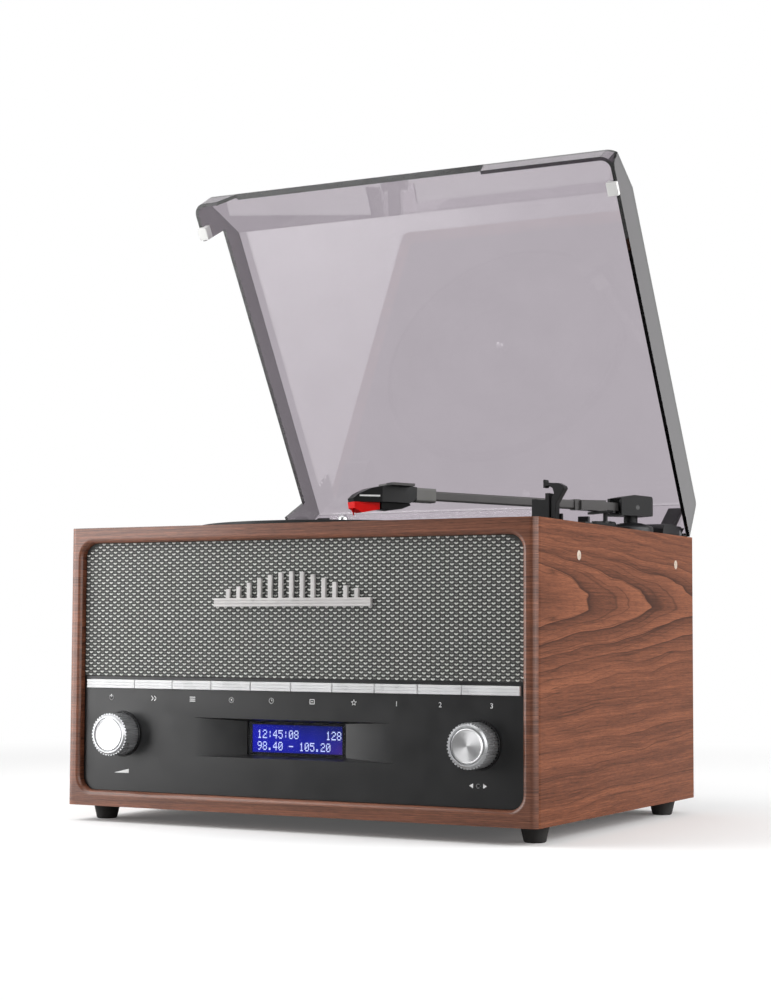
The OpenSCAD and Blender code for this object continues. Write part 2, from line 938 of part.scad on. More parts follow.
// Side outline of the lid from its rim up, with every face moved in by t
module lid_side(t) {
    top = lid_h - t;
    rear = -(lid_rear + t);
    r = lid_back_round - t > 0.5 ? lid_back_round - t : 0.5;
    front = -(lid_l - t);
    // Where the moved sloping face meets the front wall and the top
    slope = (lid_l - lid_flat)/(lid_h - lid_nose);
    lean = t*sqrt(1 + slope*slope);
    nose_h = lid_nose - (lean - t)/slope;
    flat_s = -(lid_flat - (lean - t*slope));
    difference() {
        polygon([
            [rear, t > 0 ? -1 : 0], [rear - lid_draft*top, top], [flat_s, top],
            [front, nose_h], [front, t > 0 ? -1 : 0]
        ]);
        // Round on the back top edge
        translate([rear - lid_draft*top - r, top - r])
            difference() {
                square(r + 2);
                circle(r);
            }
    }
}

// Front outline of the lid: walls that lean in towards the top
module lid_across(t) {
    low = t > 0 ? -1 : 0;
    half = lid_half - t;
    polygon([
        [half - lid_draft*low, low], [half - lid_draft*lid_h, lid_h + 0.01 - t],
        [-half + lid_draft*lid_h, lid_h + 0.01 - t], [-half + lid_draft*low, low]
    ]);
}

module lid_body(t) {
    intersection() {
        sideways(-lid_half, 2*lid_half)
            lid_side(t);
        facing(-lid_l - 5, lid_l + 20)
            lid_across(t);
        // Round front corners
        translate([0, 0, -2])
            linear_extrude(lid_h + 4) {
                r = 9 - t;
                half = lid_half - t;
                translate([-half, -lid_l + t + r])
                    square([2*half, lid_l + 20]);
                translate([-half + r, -lid_l + t])
                    square([2*half - 2*r, lid_l]);
                for (s = [-1, 1])
                    translate([s*(half - r), -lid_l + t + r])
                        circle(r);
            }
    }
}

slot_left = [21, lid_l - 27.3];
slot_front = [px - 94.5, px + 104.5];
slot_rear = [px - 86.5, px + 88.5];
slot_rear_h = 16;

module lid_cover() {
    color("#b8b0b8", 0.5)
    placed() lid_frame() difference() {
        lid_body(0);
        lid_body(lid_t);
        // A record overhangs the case on the left, at the front and at the back
        translate([-lid_half - 1, -slot_left[1], -1])
            cube([12, slot_left[1] - slot_left[0], slot_left_h + 1]);
        facing(-lid_l - 1, 8)
            polygon([
                [slot_front[0] - 6, -1], [slot_front[0] + 4, lid_nose], [slot_front[1] - 3, lid_nose],
                [slot_front[1], 1.5], [slot_front[1], -1]
            ]);
        facing(-8, 20)
            polygon([
                [slot_rear[0], -1], [slot_rear[0] + 3, slot_rear_h],
                [slot_rear[1] - 3, slot_rear_h], [slot_rear[1], -1]
            ]);
        // Notches over the hinges
        for (s = [-1, 1])
            translate([s*(ear_in + ear_out)/2, -3, 2])
                cube([ear_out - ear_in + 2, 20, 8], center = true);
    }
}

bumper_s = lid_l - 21.3;
bumper_l = 9;

module lid_bumpers() {
    color("#f2f2f0")
    placed() lid_frame() both_sides() {
        inner = lid_half - lid_t;
        translate([inner - 4.5, -bumper_s - bumper_l/2, -hinge_up + gap])
            cube([lid_half + 0.4 - inner + 4.5, bumper_l, hinge_up - gap]);
        translate([inner - 4.5, -bumper_s - bumper_l/2, -eps])
            cube([4.5 - lid_draft*4 - gap, bumper_l, 3]);
    }
}

leaf_h = 26;

module lid_hinges() {
    color("#1a1a1b")
    placed() lid_frame() both_sides() {
        face = -(lid_rear + lid_t);
        difference() {
            union() {
                translate([ear_in + ear_t + gap, 0, 0])
                    rotate([0, 90, 0])
                        cylinder(h = knuckle_w, r = knuckle_r);
                sideways(ear_in + ear_t + gap, knuckle_w)
                    polygon([
                        [face - gap, 0], [face - gap - lid_draft*leaf_h, leaf_h],
                        [face - gap - lid_draft*leaf_h - 2.5, leaf_h], [face - gap - 3.6, 0]
                    ]);
            }
            translate([ear_in, 0, 0])
                rotate([0, 90, 0])
                    cylinder(h = ear_out - ear_in, r = pin_r + run);
        }
    }
}

module hinge_brackets() {
    color("#1a1a1b")
    placed() both_sides() difference() {
        union() {
            // Block on the deck, rounded towards the front
            sideways(ear_in, ear_out - ear_in)
                difference() {
                    translate([case_d - 26, case_h])
                        square([25.5, 8.5]);
                    translate([case_d - 26, case_h + 8.5])
                        difference() {
                            translate([-1, -6])
                                square([7, 7]);
                            translate([6, -6])
                                circle(6);
                        }
                }
            // Ears behind the case
            for (x = [ear_in, ear_out - ear_t])
                sideways(x, ear_t) {
                    translate([hinge_y, hinge_z])
                        circle(ear_r);
                    translate([case_d - 5, case_h])
                        square([hinge_y - case_d + 5, hinge_up + ear_r]);
                }
        }
        // Room for the knuckle and the lid's wall between the ears
        translate([ear_in + ear_t, case_d - 1.5, case_h - 10])
            cube([knuckle_w + 2*gap, 30, 30]);
        translate([ear_in - 1, hinge_y, hinge_z])
            rotate([0, 90, 0])
                cylinder(h = ear_out - ear_in + 2, r = pin_r);
    }
}

module hinge_pins() {
    color("#a9a9ab")
    placed() both_sides()
        translate([ear_in, hinge_y, hinge_z])
            rotate([0, 90, 0])
                cylinder(h = ear_out - ear_in, r = pin_r);
}

// ---- Front panel and what it carries ----

panel_y = recess;
panel_back = recess + panel_t;
row_half = in_half - row_side;
well_knob_r = knob_r + 1.1;
well_knob_deep = 1.2;
window_low = scoop_low + 1.7;
window_high = scoop_high - 1.6;
window_y = recess + scoop_deep;
window_t = 1.5;
bush_r = 3.5;
shaft_r = 3;
board_y = recess + 13.5;
board_t = 1.6;
stud_r = 3;
stud_x = [-1, 1]*(in_half - 49.5);
stud_z = [30, 66];
tact_t = 3.5;
switch_front = board_y - tact_t;

// Edges of the buttons along X, from left to right
function button_edge(i) =
    i == 0 ? -row_half
    : i == middle_buttons + 2 ? row_half
    : (i - 1 - middle_buttons/2)*button_pitch;

// The sloping display recess, as the common part of two wedges
module scoop() {
    intersection() {
        translate([0, 0, scoop_low - 5])
            linear_extrude(scoop_high - scoop_low + 10)
                polygon([
                    [-scoop_half - (scoop_half - window_half)/scoop_deep, panel_y - 1],
                    [scoop_half + (scoop_half - window_half)/scoop_deep, panel_y - 1],
                    [window_half, window_y], [-window_half, window_y]
                ]);
        sideways(-scoop_half - 20, 2*scoop_half + 40)
            polygon([
                [panel_y - 1, scoop_low - (window_low - scoop_low)/scoop_deep],
                [window_y, window_low], [window_y, window_high],
                [panel_y - 1, scoop_high + (scoop_high - window_high)/scoop_deep]
            ]);
    }
}

module front_panel() {
    color("#3c3c3e")
    placed() difference() {
        union() {
            intersection() {
                facing(panel_y, panel_t)
                    translate([0, mouth_z])
                        round_rect(mouth_w - 2*gap, mouth_h - 2*gap, mouth_round - gap);
                translate([-case_w/2, 0, 0])
                    cube([case_w, panel_back + 1, panel_top]);
            }
            // Housing behind the display recess
            translate([-scoop_half - 2, panel_back - eps, scoop_low - 2])
                cube([2*scoop_half + 4, window_y + window_t - panel_back, scoop_high - scoop_low + 4]);
            // Studs for the control board
            for (x = stud_x, z = stud_z)
                rod_y(x, panel_back - eps, z, stud_r, board_y - panel_back + eps);
        }
        scoop();
        translate([-window_half, window_y - eps, window_low])
            cube([2*window_half, window_t + 1, window_high - window_low]);
        // Slot for the row of buttons
        translate([-row_half - gap, panel_y - 1, button_z - button_h/2 - gap])
            cube([2*row_half + 2*gap, panel_t + 2, button_h + 2*gap]);
        for (s = [-1, 1]) {
            rod_y(s*knob_x, panel_y - 1, knob_z, well_knob_r, 1 + well_knob_deep);
            rod_y(s*knob_x, panel_y - 1, knob_z, bush_r + 0.1, panel_t + 2);
        }
        for (x = stud_x, z = stud_z)
            rod_y(x, board_y - 6, z, 1.2, 8);
    }
}

module one_button(i) {
    left = button_edge(i) + gap;
    right = button_edge(i + 1) - gap;
    front = panel_y - button_out;
    color("#dcdcde")
    placed() difference() {
        union() {
            translate([left, front, button_z - button_h/2])
                cube([right - left, panel_back + free - front + eps, button_h]);
            // Flange that keeps the button behind the panel
            translate([left, panel_back + free, button_z - button_h/2 - 1])
                cube([right - left, 1, button_h + 2]);
            // Stem that presses the switch behind it
            rod_y((left + right)/2, panel_back + free + 1 - eps, button_z, 1.5,
                switch_front - button_travel - 0.1 - panel_back - free - 1);
        }
        // Two fine grooves along the face
        for (z = [-0.9, 0.9])
            translate([left - 1, front - 1, button_z + z - 0.2])
                cube([right - left + 2, 1.3, 0.4]);
    }
}

module button_1() { one_button(0); }
module button_2() { one_button(1); }
module button_3() { one_button(2); }
module button_4() { one_button(3); }
module button_5() { one_button(4); }
module button_6() { one_button(5); }
module button_7() { one_button(6); }
module button_8() { one_button(7); }
module button_9() { one_button(8); }
module button_10() { one_button(9); }

knob_rear = panel_y + well_knob_deep - press_travel - gap;
cap_r = knob_r*0.76;

// A toothed knob with a bevelled front, drawn about the origin along +Y from its front
tooth_deep = 0.75;
bevel = 1.2;

module toothed_knob() {
    tooth = 360/knob_teeth;
    root_r = knob_r - tooth_deep;
    len = knob_rear - knob_front;
    // Corners of one tooth: how far round it they lie, and their radius
    corners = [[0.1, knob_r], [0.3, root_r], [0.55, root_r], [0.75, knob_r]];
    difference() {
        union() {
            facing(bevel, len - bevel)
                polygon([
                    for (i = [0 : knob_teeth - 1], c = corners)
                        c[1]*[cos(tooth*(i + c[0])), sin(tooth*(i + c[0]))]
                ]);
            rotate([-90, 0, 0])
                rotate_extrude($fn = 96)
                    polygon([[0, 0], [root_r - 1, 0], [root_r, bevel], [root_r, bevel + 1], [0, bevel + 1]]);
        }
        // Seat of the metal cap and the groove round it
        rod_y(0, -1, 0, cap_r + 0.5, 1 + 0.9);
        rod_y(0, 2.5, 0, shaft_r, len);
    }
}

module knob_cap() {
    rotate([-90, 0, 0])
        rotate_extrude($fn = 96)
            polygon([
                [0, 0.15], [cap_r - 1.4, -0.1], [cap_r - 0.5, -0.3], [cap_r, 0.1], [cap_r, 0.9], [0, 0.9]
            ]);
}

// The shaft that turns with a knob, from inside the knob to the encoder
module knob_shaft() {
    rod_y(0, 2.5, 0, shaft_r, shaft_end - knob_front - 2.5);
}

module volume_knob() {
    color("#c9cacc")
    placed() translate([-knob_x, knob_front, knob_z]) {
        toothed_knob();
        knob_shaft();
    }
}

module volume_cap() {
    color("#e6e6e8")
    placed() translate([-knob_x, knob_front, knob_z])
        knob_cap();
}

module tune_knob() {
    color("#c9cacc")
    placed() translate([knob_x, knob_front, knob_z]) {
        toothed_knob();
        knob_shaft();
    }
}

module tune_cap() {
    color("#e6e6e8")
    placed() translate([knob_x, knob_front, knob_z])
        knob_cap();
}

encoder_y = recess + 6.5;
shaft_end = recess + 9.5;

module encoders() {
    color("#9c9c9e")
    placed()
        for (s = [-1, 1])
            translate([s*knob_x, 0, knob_z]) difference() {
                union() {
                    translate([-6, encoder_y, -6.5])
                        cube([12, board_y - encoder_y, 13]);
                    rod_y(0, panel_y + well_knob_deep + 0.1, 0, bush_r, encoder_y - panel_y - well_knob_deep);
                }
                rod_y(0, 0, 0, shaft_r + run, shaft_end + press_travel + free);
                // Chamber of the push switch
                if (s > 0)
                    rod_y(0, shaft_end + press_travel, 0, shaft_r - 0.5, 2.4);
            }
}

// Carrier of the tuning shaft: it slides with the knob and closes the push switch
module tune_plunger() {
    color("#6e6e70")
    placed()
        rod_y(knob_x, shaft_end + run, knob_z, shaft_r - 0.6, 2.2);
}

module lcd_window() {
    color("#101014")
    placed()
        translate([-window_half + gap, window_y, window_low + gap])
            cube([2*window_half - 2*gap, window_t, window_high - window_low - 2*gap]);
}

module lcd_module() {
    color("#1726c4")
    placed()
        translate([-window_half - 4, window_y + window_t, window_low - 2])
            cube([2*window_half + 8, board_y - window_y - window_t, window_high - window_low + 4]);
}

module control_board() {
    color("#2f6b3c")
    placed() difference() {
        translate([-in_half + 8, board_y, stud_z[0] - 5])
            cube([2*in_half - 16, board_t, button_z + 4 - stud_z[0] + 5]);
        for (x = stud_x, z = stud_z)
            rod_y(x, board_y - 1, z, 1.4, board_t + 2);
    }
}

module tact_switches() {
    color("#3a3a3a")
    placed()
        for (i = [0 : middle_buttons + 1]) {
            x = (button_edge(i) + button_edge(i + 1))/2;
            translate([x - 3, switch_front + 0.7, button_z - 3])
                cube([6, tact_t - 0.7, 6]);
            rod_y(x, switch_front, button_z, 1.7, 1);
        }
}

module grille_cloth() {
    color("#8f9290")
    placed()
        intersection() {
            facing(recess, grille_t)
                translate([0, mouth_z])
                    round_rect(mouth_w - 2*gap, mouth_h - 2*gap, mouth_round - gap);
            translate([-case_w/2, 0, panel_top + gap])
                cube([case_w, 50, case_h]);
        }
}

baffle_low = panel_top + 2;
speaker_r = (in_high - baffle_low)/2 - speaker_edge;

module speaker_baffle() {
    color("#7a5b3c")
    placed() difference() {
        translate([-in_half + gap, recess + grille_t, baffle_low])
            cube([2*in_half - 2*gap, baffle_t, in_high - baffle_low - gap]);
        for (s = [-1, 1])
            rod_y(s*speaker_x, 0, speaker_z, speaker_r, 60);
    }
}

speaker_z = (baffle_low + in_high)/2;
basket_y = recess + grille_t + baffle_t;
basket_deep = 18;

module speaker_baskets() {
    color("#2a2a2c")
    placed()
        for (s = [-1, 1])
            translate([s*speaker_x, basket_y, speaker_z])
                rotate([-90, 0, 0])
                    rotate_extrude()
                        polygon([
                            [speaker_r - 2, 0], [speaker_r + 5, 0], [speaker_r + 5, 2],
                            [speaker_r, 2], [20, basket_deep], [12, basket_deep],
                            [12, basket_deep - 2], [18.5, basket_deep - 2],
                            [speaker_r - 2, 1.2]
                        ]);
}

module speaker_cones() {
    color("#141414")
    placed()
        for (s = [-1, 1])
            translate([s*speaker_x, basket_y, speaker_z])
                rotate([-90, 0, 0])
                    rotate_extrude()
                        polygon([
                            [0, 8], [8, 11], [speaker_r - 6, -0.8], [speaker_r - gap, -0.8],
                            [speaker_r - gap, 0], [speaker_r - 2.4, 0], [speaker_r - 6.5, 0.4],
                            [10, 13], [10, 21],
                            [9.2, 21], [9, 13], [0, 9.5]
                        ]);
}

magnet_r = 23;
magnet_h = 14;
magnet_plate_t = 3;
magnet_bore_r = 11.5;

// A ring magnet between its front and back plates, open for the voice coil
module speaker_magnets() {
    color("#8e8e90")
    placed()
        for (s = [-1, 1])
            translate([s*speaker_x, basket_y + basket_deep, speaker_z])
                rotate([-90, 0, 0])
                    difference() {
                        union() {
                            cylinder(h = magnet_plate_t, r = magnet_r + 3);
                            cylinder(h = magnet_h, r = magnet_r);
                            translate([0, 0, magnet_h - magnet_plate_t])
                                cylinder(h = magnet_plate_t, r = magnet_r + 2);
                        }
                        translate([0, 0, -1])
                            cylinder(h = magnet_h - magnet_plate_t - 1, r = magnet_bore_r);
                    }
}

// The emblem: a ribbed bar with a symmetrical fan of upright fins above it
emblem_down = 50.2;
emblem_out = 2.4;
fin_pitch = 7.5;
fin_n = 13;
fin_w = 2.8;
fin_low = 5;
fin_rise = 11;
fin_back = 0.4;
// Angle of the wave that the fins' heights follow
fan_turn = 153;

module emblem_bar() {
    color("#d9dadc")
    placed() translate([0, recess - emblem_out, case_h - emblem_down]) difference() {
        union() {
            translate([-emblem_half, 0, 0])
                cube([2*emblem_half, emblem_out, emblem_h]);
            for (i = [0 : fin_n - 1]) {
                x = (i - (fin_n - 1)/2)*fin_pitch;
                tall = fin_low + fin_rise*pow(cos(i/(fin_n - 1)*fan_turn - fan_turn/2), 2);
                translate([x - fin_w/2, fin_back, emblem_h - eps])
                    cube([fin_w, emblem_out - fin_back, tall]);
            }
        }
        for (z = [0.33, 0.67])
            translate([-emblem_half - 1, -1, emblem_h*z - 0.25])
                cube([2*emblem_half + 2, 1.5, 0.5]);
    }
}

// ---- Electronics at the back ----

socket_x = 60;
socket_z = 36;
socket_pitch = 18;
socket_r = 4.35;
jack_x = 12;
jack_r = 4;
inlet_x = -24;
inlet_r = 6;
amp_y = back_y - 70;
main_low = in_low + 6;
main_top = main_low + board_t;
// Edges of the main board along X, its depth, and how far in its spacers stand
main_x = [-60, 110];
main_d = 62;
spacer_in = 6;
fin_h = 22;

module main_board() {
    color("#2f6b3c")
    placed() {
        translate([main_x[0], amp_y, main_low])
            cube([main_x[1] - main_x[0], main_d, board_t]);
        // Spacers on the case's floor
        for (x = [main_x[0] + spacer_in, main_x[1] - spacer_in], y = [spacer_in, main_d - spacer_in])
            translate([x, amp_y + y, in_low])
                cylinder(h = main_low - in_low + eps, r = 3);
        // Heat sink, tall capacitors and a shielded tuner
        translate([main_x[0] + 10, amp_y + 8, main_top - eps]) {
            cube([4, 40, fin_h]);
            for (i = [0 : 6])
                translate([4 - eps, i*6, 0])
                    cube([8, 2, fin_h]);
        }
        for (i = [0 : 2])
            translate([main_x[0] + 40 + i*16, amp_y + 16, main_top - eps])
                cylinder(h = 20, r = 6);
        translate([main_x[1] - 70, amp_y + 6, main_top - eps])
            cube([44, 26, 6]);
    }
}

// A round socket through the back panel, on its block on the main board
module socket_ring(x, r, bore, l) {
    difference() {
        union() {
            rod_y(x, back_y - 12, socket_z, r, 12 + back_t + l);
            translate([x - r - 1, back_y - 12, main_top])
                cube([2*r + 2, 10, socket_z - main_top]);
        }
        rod_y(x, back_y - 6, socket_z, bore, 40);
    }
}

module rear_sockets() {
    color("#c8c9cb")
    placed() {
        for (i = [0 : 1])
            socket_ring(socket_x + i*socket_pitch, socket_r - gap, 1.6, 8);
        for (i = [0 : 1])
            socket_ring(jack_x + i*socket_pitch, jack_r - gap, 1.8, 1);
    }
}

module power_inlet() {
    color("#171718")
    placed() {
        socket_ring(inlet_x, inlet_r - gap, 2.8, 0.5);
        rod_y(inlet_x, back_y - 6 - eps, socket_z, 1, 7);
    }
}

case_shell();
rear_panel();
case_screws();
side_screws();
feet();
top_deck();
front_panel();
speaker_baffle();
grille_cloth();
emblem_bar();
lcd_window();
lcd_module();
control_board();
tact_switches();
encoders();
speaker_baskets();
speaker_cones();
speaker_magnets();
main_board();
rear_sockets();
power_inlet();
motor();
drive_belt();
spindle();
tonearm_base();
arm_rest();
hinge_brackets();
hinge_pins();
button_1();
button_2();
button_3();
button_4();
button_5();
button_6();
button_7();
button_8();
button_9();
button_10();
volume_knob();
volume_cap();
tune_knob();
tune_cap();
tune_plunger();
platter();
platter_mat();
motor_pulley();
arm_yoke();
arm_pin();
arm_tube();
headshell();
cartridge();
stylus();
rest_clip();
cue_lever();
cue_lift();
speed_switch();
lid_cover();
lid_bumpers();
lid_hinges();
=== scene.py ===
import json
import math

import bmesh
import bpy
from mathutils import Matrix, Vector


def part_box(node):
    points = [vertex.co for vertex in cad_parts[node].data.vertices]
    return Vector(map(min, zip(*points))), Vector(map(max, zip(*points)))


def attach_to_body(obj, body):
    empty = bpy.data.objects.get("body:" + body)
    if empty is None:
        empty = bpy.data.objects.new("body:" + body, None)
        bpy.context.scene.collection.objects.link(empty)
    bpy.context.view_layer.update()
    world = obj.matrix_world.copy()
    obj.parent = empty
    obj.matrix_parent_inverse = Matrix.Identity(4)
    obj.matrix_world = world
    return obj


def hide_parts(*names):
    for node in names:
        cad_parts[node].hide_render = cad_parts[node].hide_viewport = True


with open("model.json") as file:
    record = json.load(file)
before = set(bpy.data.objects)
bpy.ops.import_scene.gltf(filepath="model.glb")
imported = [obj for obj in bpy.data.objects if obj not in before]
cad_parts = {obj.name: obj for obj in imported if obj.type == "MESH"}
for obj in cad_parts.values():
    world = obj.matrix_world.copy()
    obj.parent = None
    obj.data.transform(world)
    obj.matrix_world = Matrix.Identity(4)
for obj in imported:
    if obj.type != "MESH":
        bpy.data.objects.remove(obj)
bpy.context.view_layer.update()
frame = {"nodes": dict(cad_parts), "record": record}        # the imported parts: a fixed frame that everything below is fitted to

MM = 0.001
case_low, case_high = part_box("case_shell")
NODE_BODY = {n: b for b, members in frame["record"]["behaviour"]["bodies"].items() for n in members}
NODE_SLOT = {s["node"]: s["material_slot"] for s in frame["record"]["subparts"]}


def at(x, y, z):
    """A place on the case in millimetres: x from its middle, y behind its front, z above its underside."""
    return Vector((x * MM, case_low.y + y * MM, case_low.z + z * MM))


# ---- Materials ----

def srgb(*levels):
    """A colour given by its 0-255 screen levels, as linear light."""
    linear = [c / 255 / 12.92 if c <= 10 else ((c / 255 + 0.055) / 1.055) ** 2.4 for c in levels]
    return (*linear, 1.0)


class Surface:
    """A material with one Principled shader, and short ways to add nodes to it."""

    def __init__(self, name, **values):
        self.material = bpy.data.materials.new(name)
        self.material.use_nodes = True
        self.tree = self.material.node_tree
        self.tree.nodes.clear()
        self.out = self.tree.nodes.new("ShaderNodeOutputMaterial")
        self.shader = self.node("BsdfPrincipled")
        self.link(self.shader.outputs[0], self.out.inputs[0])
        self.set(**values)

    def node(self, kind, inputs=None, **settings):
        made = self.tree.nodes.new("ShaderNode" + kind)
        for name, value in settings.items():
            setattr(made, name, value)
        for name, value in (inputs or {}).items():
            self.feed(made.inputs[name], value)
        return made

    def feed(self, socket, value):
        if isinstance(value, bpy.types.NodeSocket):
            self.tree.links.new(value, socket)
        else:
            socket.default_value = value

    def link(self, a, b):
        self.tree.links.new(a, b)

    def set(self, **values):
        for name, value in values.items():
            self.feed(self.shader.inputs[name.replace("_", " ")], value)

    def place(self):
        """The point on the piece in millimetres. It moves with the piece."""
        coordinates = self.node("TexCoord")
        return self.node("VectorMath", {0: coordinates.outputs["Object"], 1: (1000, 1000, 1000)},
                         operation="MULTIPLY").outputs[0]

    def stretch(self, vector, x, y, z):
        return self.node("VectorMath", {0: vector, 1: (x, y, z)}, operation="MULTIPLY").outputs[0]

    def math(self, operation, a, b=0.0, c=0.0, clamp=False):
        made = self.node("Math", {0: a, 1: b, 2: c}, operation=operation)
        made.use_clamp = clamp
        return made.outputs[0]

    def noise(self, vector, scale, detail=3.0, rough=0.5, distortion=0.0):
        return self.node("TexNoise", {"Vector": vector, "Scale": scale, "Detail": detail,
                                      "Roughness": rough, "Distortion": distortion}).outputs["Fac"]

    def ramp(self, value, *stops):
        made = self.node("ValToRGB", {0: value})
        band = made.color_ramp.elements
        while len(band) > 1:
            band.remove(band[0])
        for i, (where, colour) in enumerate(stops):
            mark = band[0] if i == 0 else band.new(where)
            mark.position = where
            mark.color = colour
        return made.outputs[0]

    def spread(self, value, low, high, to_low, to_high):
        return self.node("MapRange", {0: value, 1: low, 2: high, 3: to_low, 4: to_high}).outputs[0]

    def mix(self, factor, a, b, blend="MIX"):
        made = self.node("Mix", data_type="RGBA", blend_type=blend)
        for socket, value in ((made.inputs[0], factor), (made.inputs[6], a), (made.inputs[7], b)):
            self.feed(socket, value)
        return made.outputs[2]

    def bump(self, height, depth, strength=1.0):
        """Relief of the given height, whose full depth is in millimetres."""
        made = self.node("Bump", {"Strength": strength, "Distance": depth * MM, "Height": height})
        self.link(made.outputs[0], self.shader.inputs["Normal"])
        return made.outputs[0]


def grey(level):
    return (level, level, level, 1.0)


def moulded(name, colour, rough, grain=6.0, depth=0.02, sheen_spots=0.06, specular=0.5, metallic=0.0):
    """Moulded plastic or rubber: a fine skin, with slow changes in colour and gloss."""
    s = Surface(name, Specular_IOR_Level=specular, Metallic=metallic)
    p = s.place()
    slow = s.noise(p, 0.05, 2.0)
    fine = s.noise(p, grain, 2.0)
    s.set(Base_Color=s.mix(s.spread(slow, 0.3, 0.7, 0.0, 1.0), [c * 0.9 for c in colour[:3]] + [1],
                           [c * 1.1 for c in colour[:3]] + [1]),
          Roughness=s.spread(slow, 0.3, 0.7, rough - sheen_spots, rough + sheen_spots))
    s.bump(fine, depth)
    return s.material


def metal(name, colour, rough, brush=(1.0, 1.0, 1.0), depth=0.01, anisotropic=0.0, round_axis=None):
    """Metal with fine brush lines: they run along the axis that brush keeps low."""
    s = Surface(name, Metallic=1.0, Anisotropic=anisotropic)
    p = s.place()
    lines = s.noise(s.stretch(p, *brush), 1.0, 3.0, 0.6)
    slow = s.noise(p, 0.08, 2.0)
    s.set(Base_Color=s.mix(s.spread(lines, 0.3, 0.7, 0.0, 1.0), [c * 0.92 for c in colour[:3]] + [1], colour),
          Roughness=s.math("ADD", s.spread(lines, 0.3, 0.7, rough - 0.04, rough + 0.05),
                           s.spread(slow, 0.3, 0.7, -0.03, 0.03)))
    s.bump(lines, depth)
    if round_axis:
        tangent = s.node("Tangent", direction_type="RADIAL", axis=round_axis)
        s.link(tangent.outputs[0], s.shader.inputs["Tangent"])
    return s.material


HEART_Z = 135.0      # height of the arches' middle above the ground
FIRST_TIP = -64.0    # place of one arch's tip along the grain, from the part's origin
TIP_PITCH = 98.0     # distance between the tips


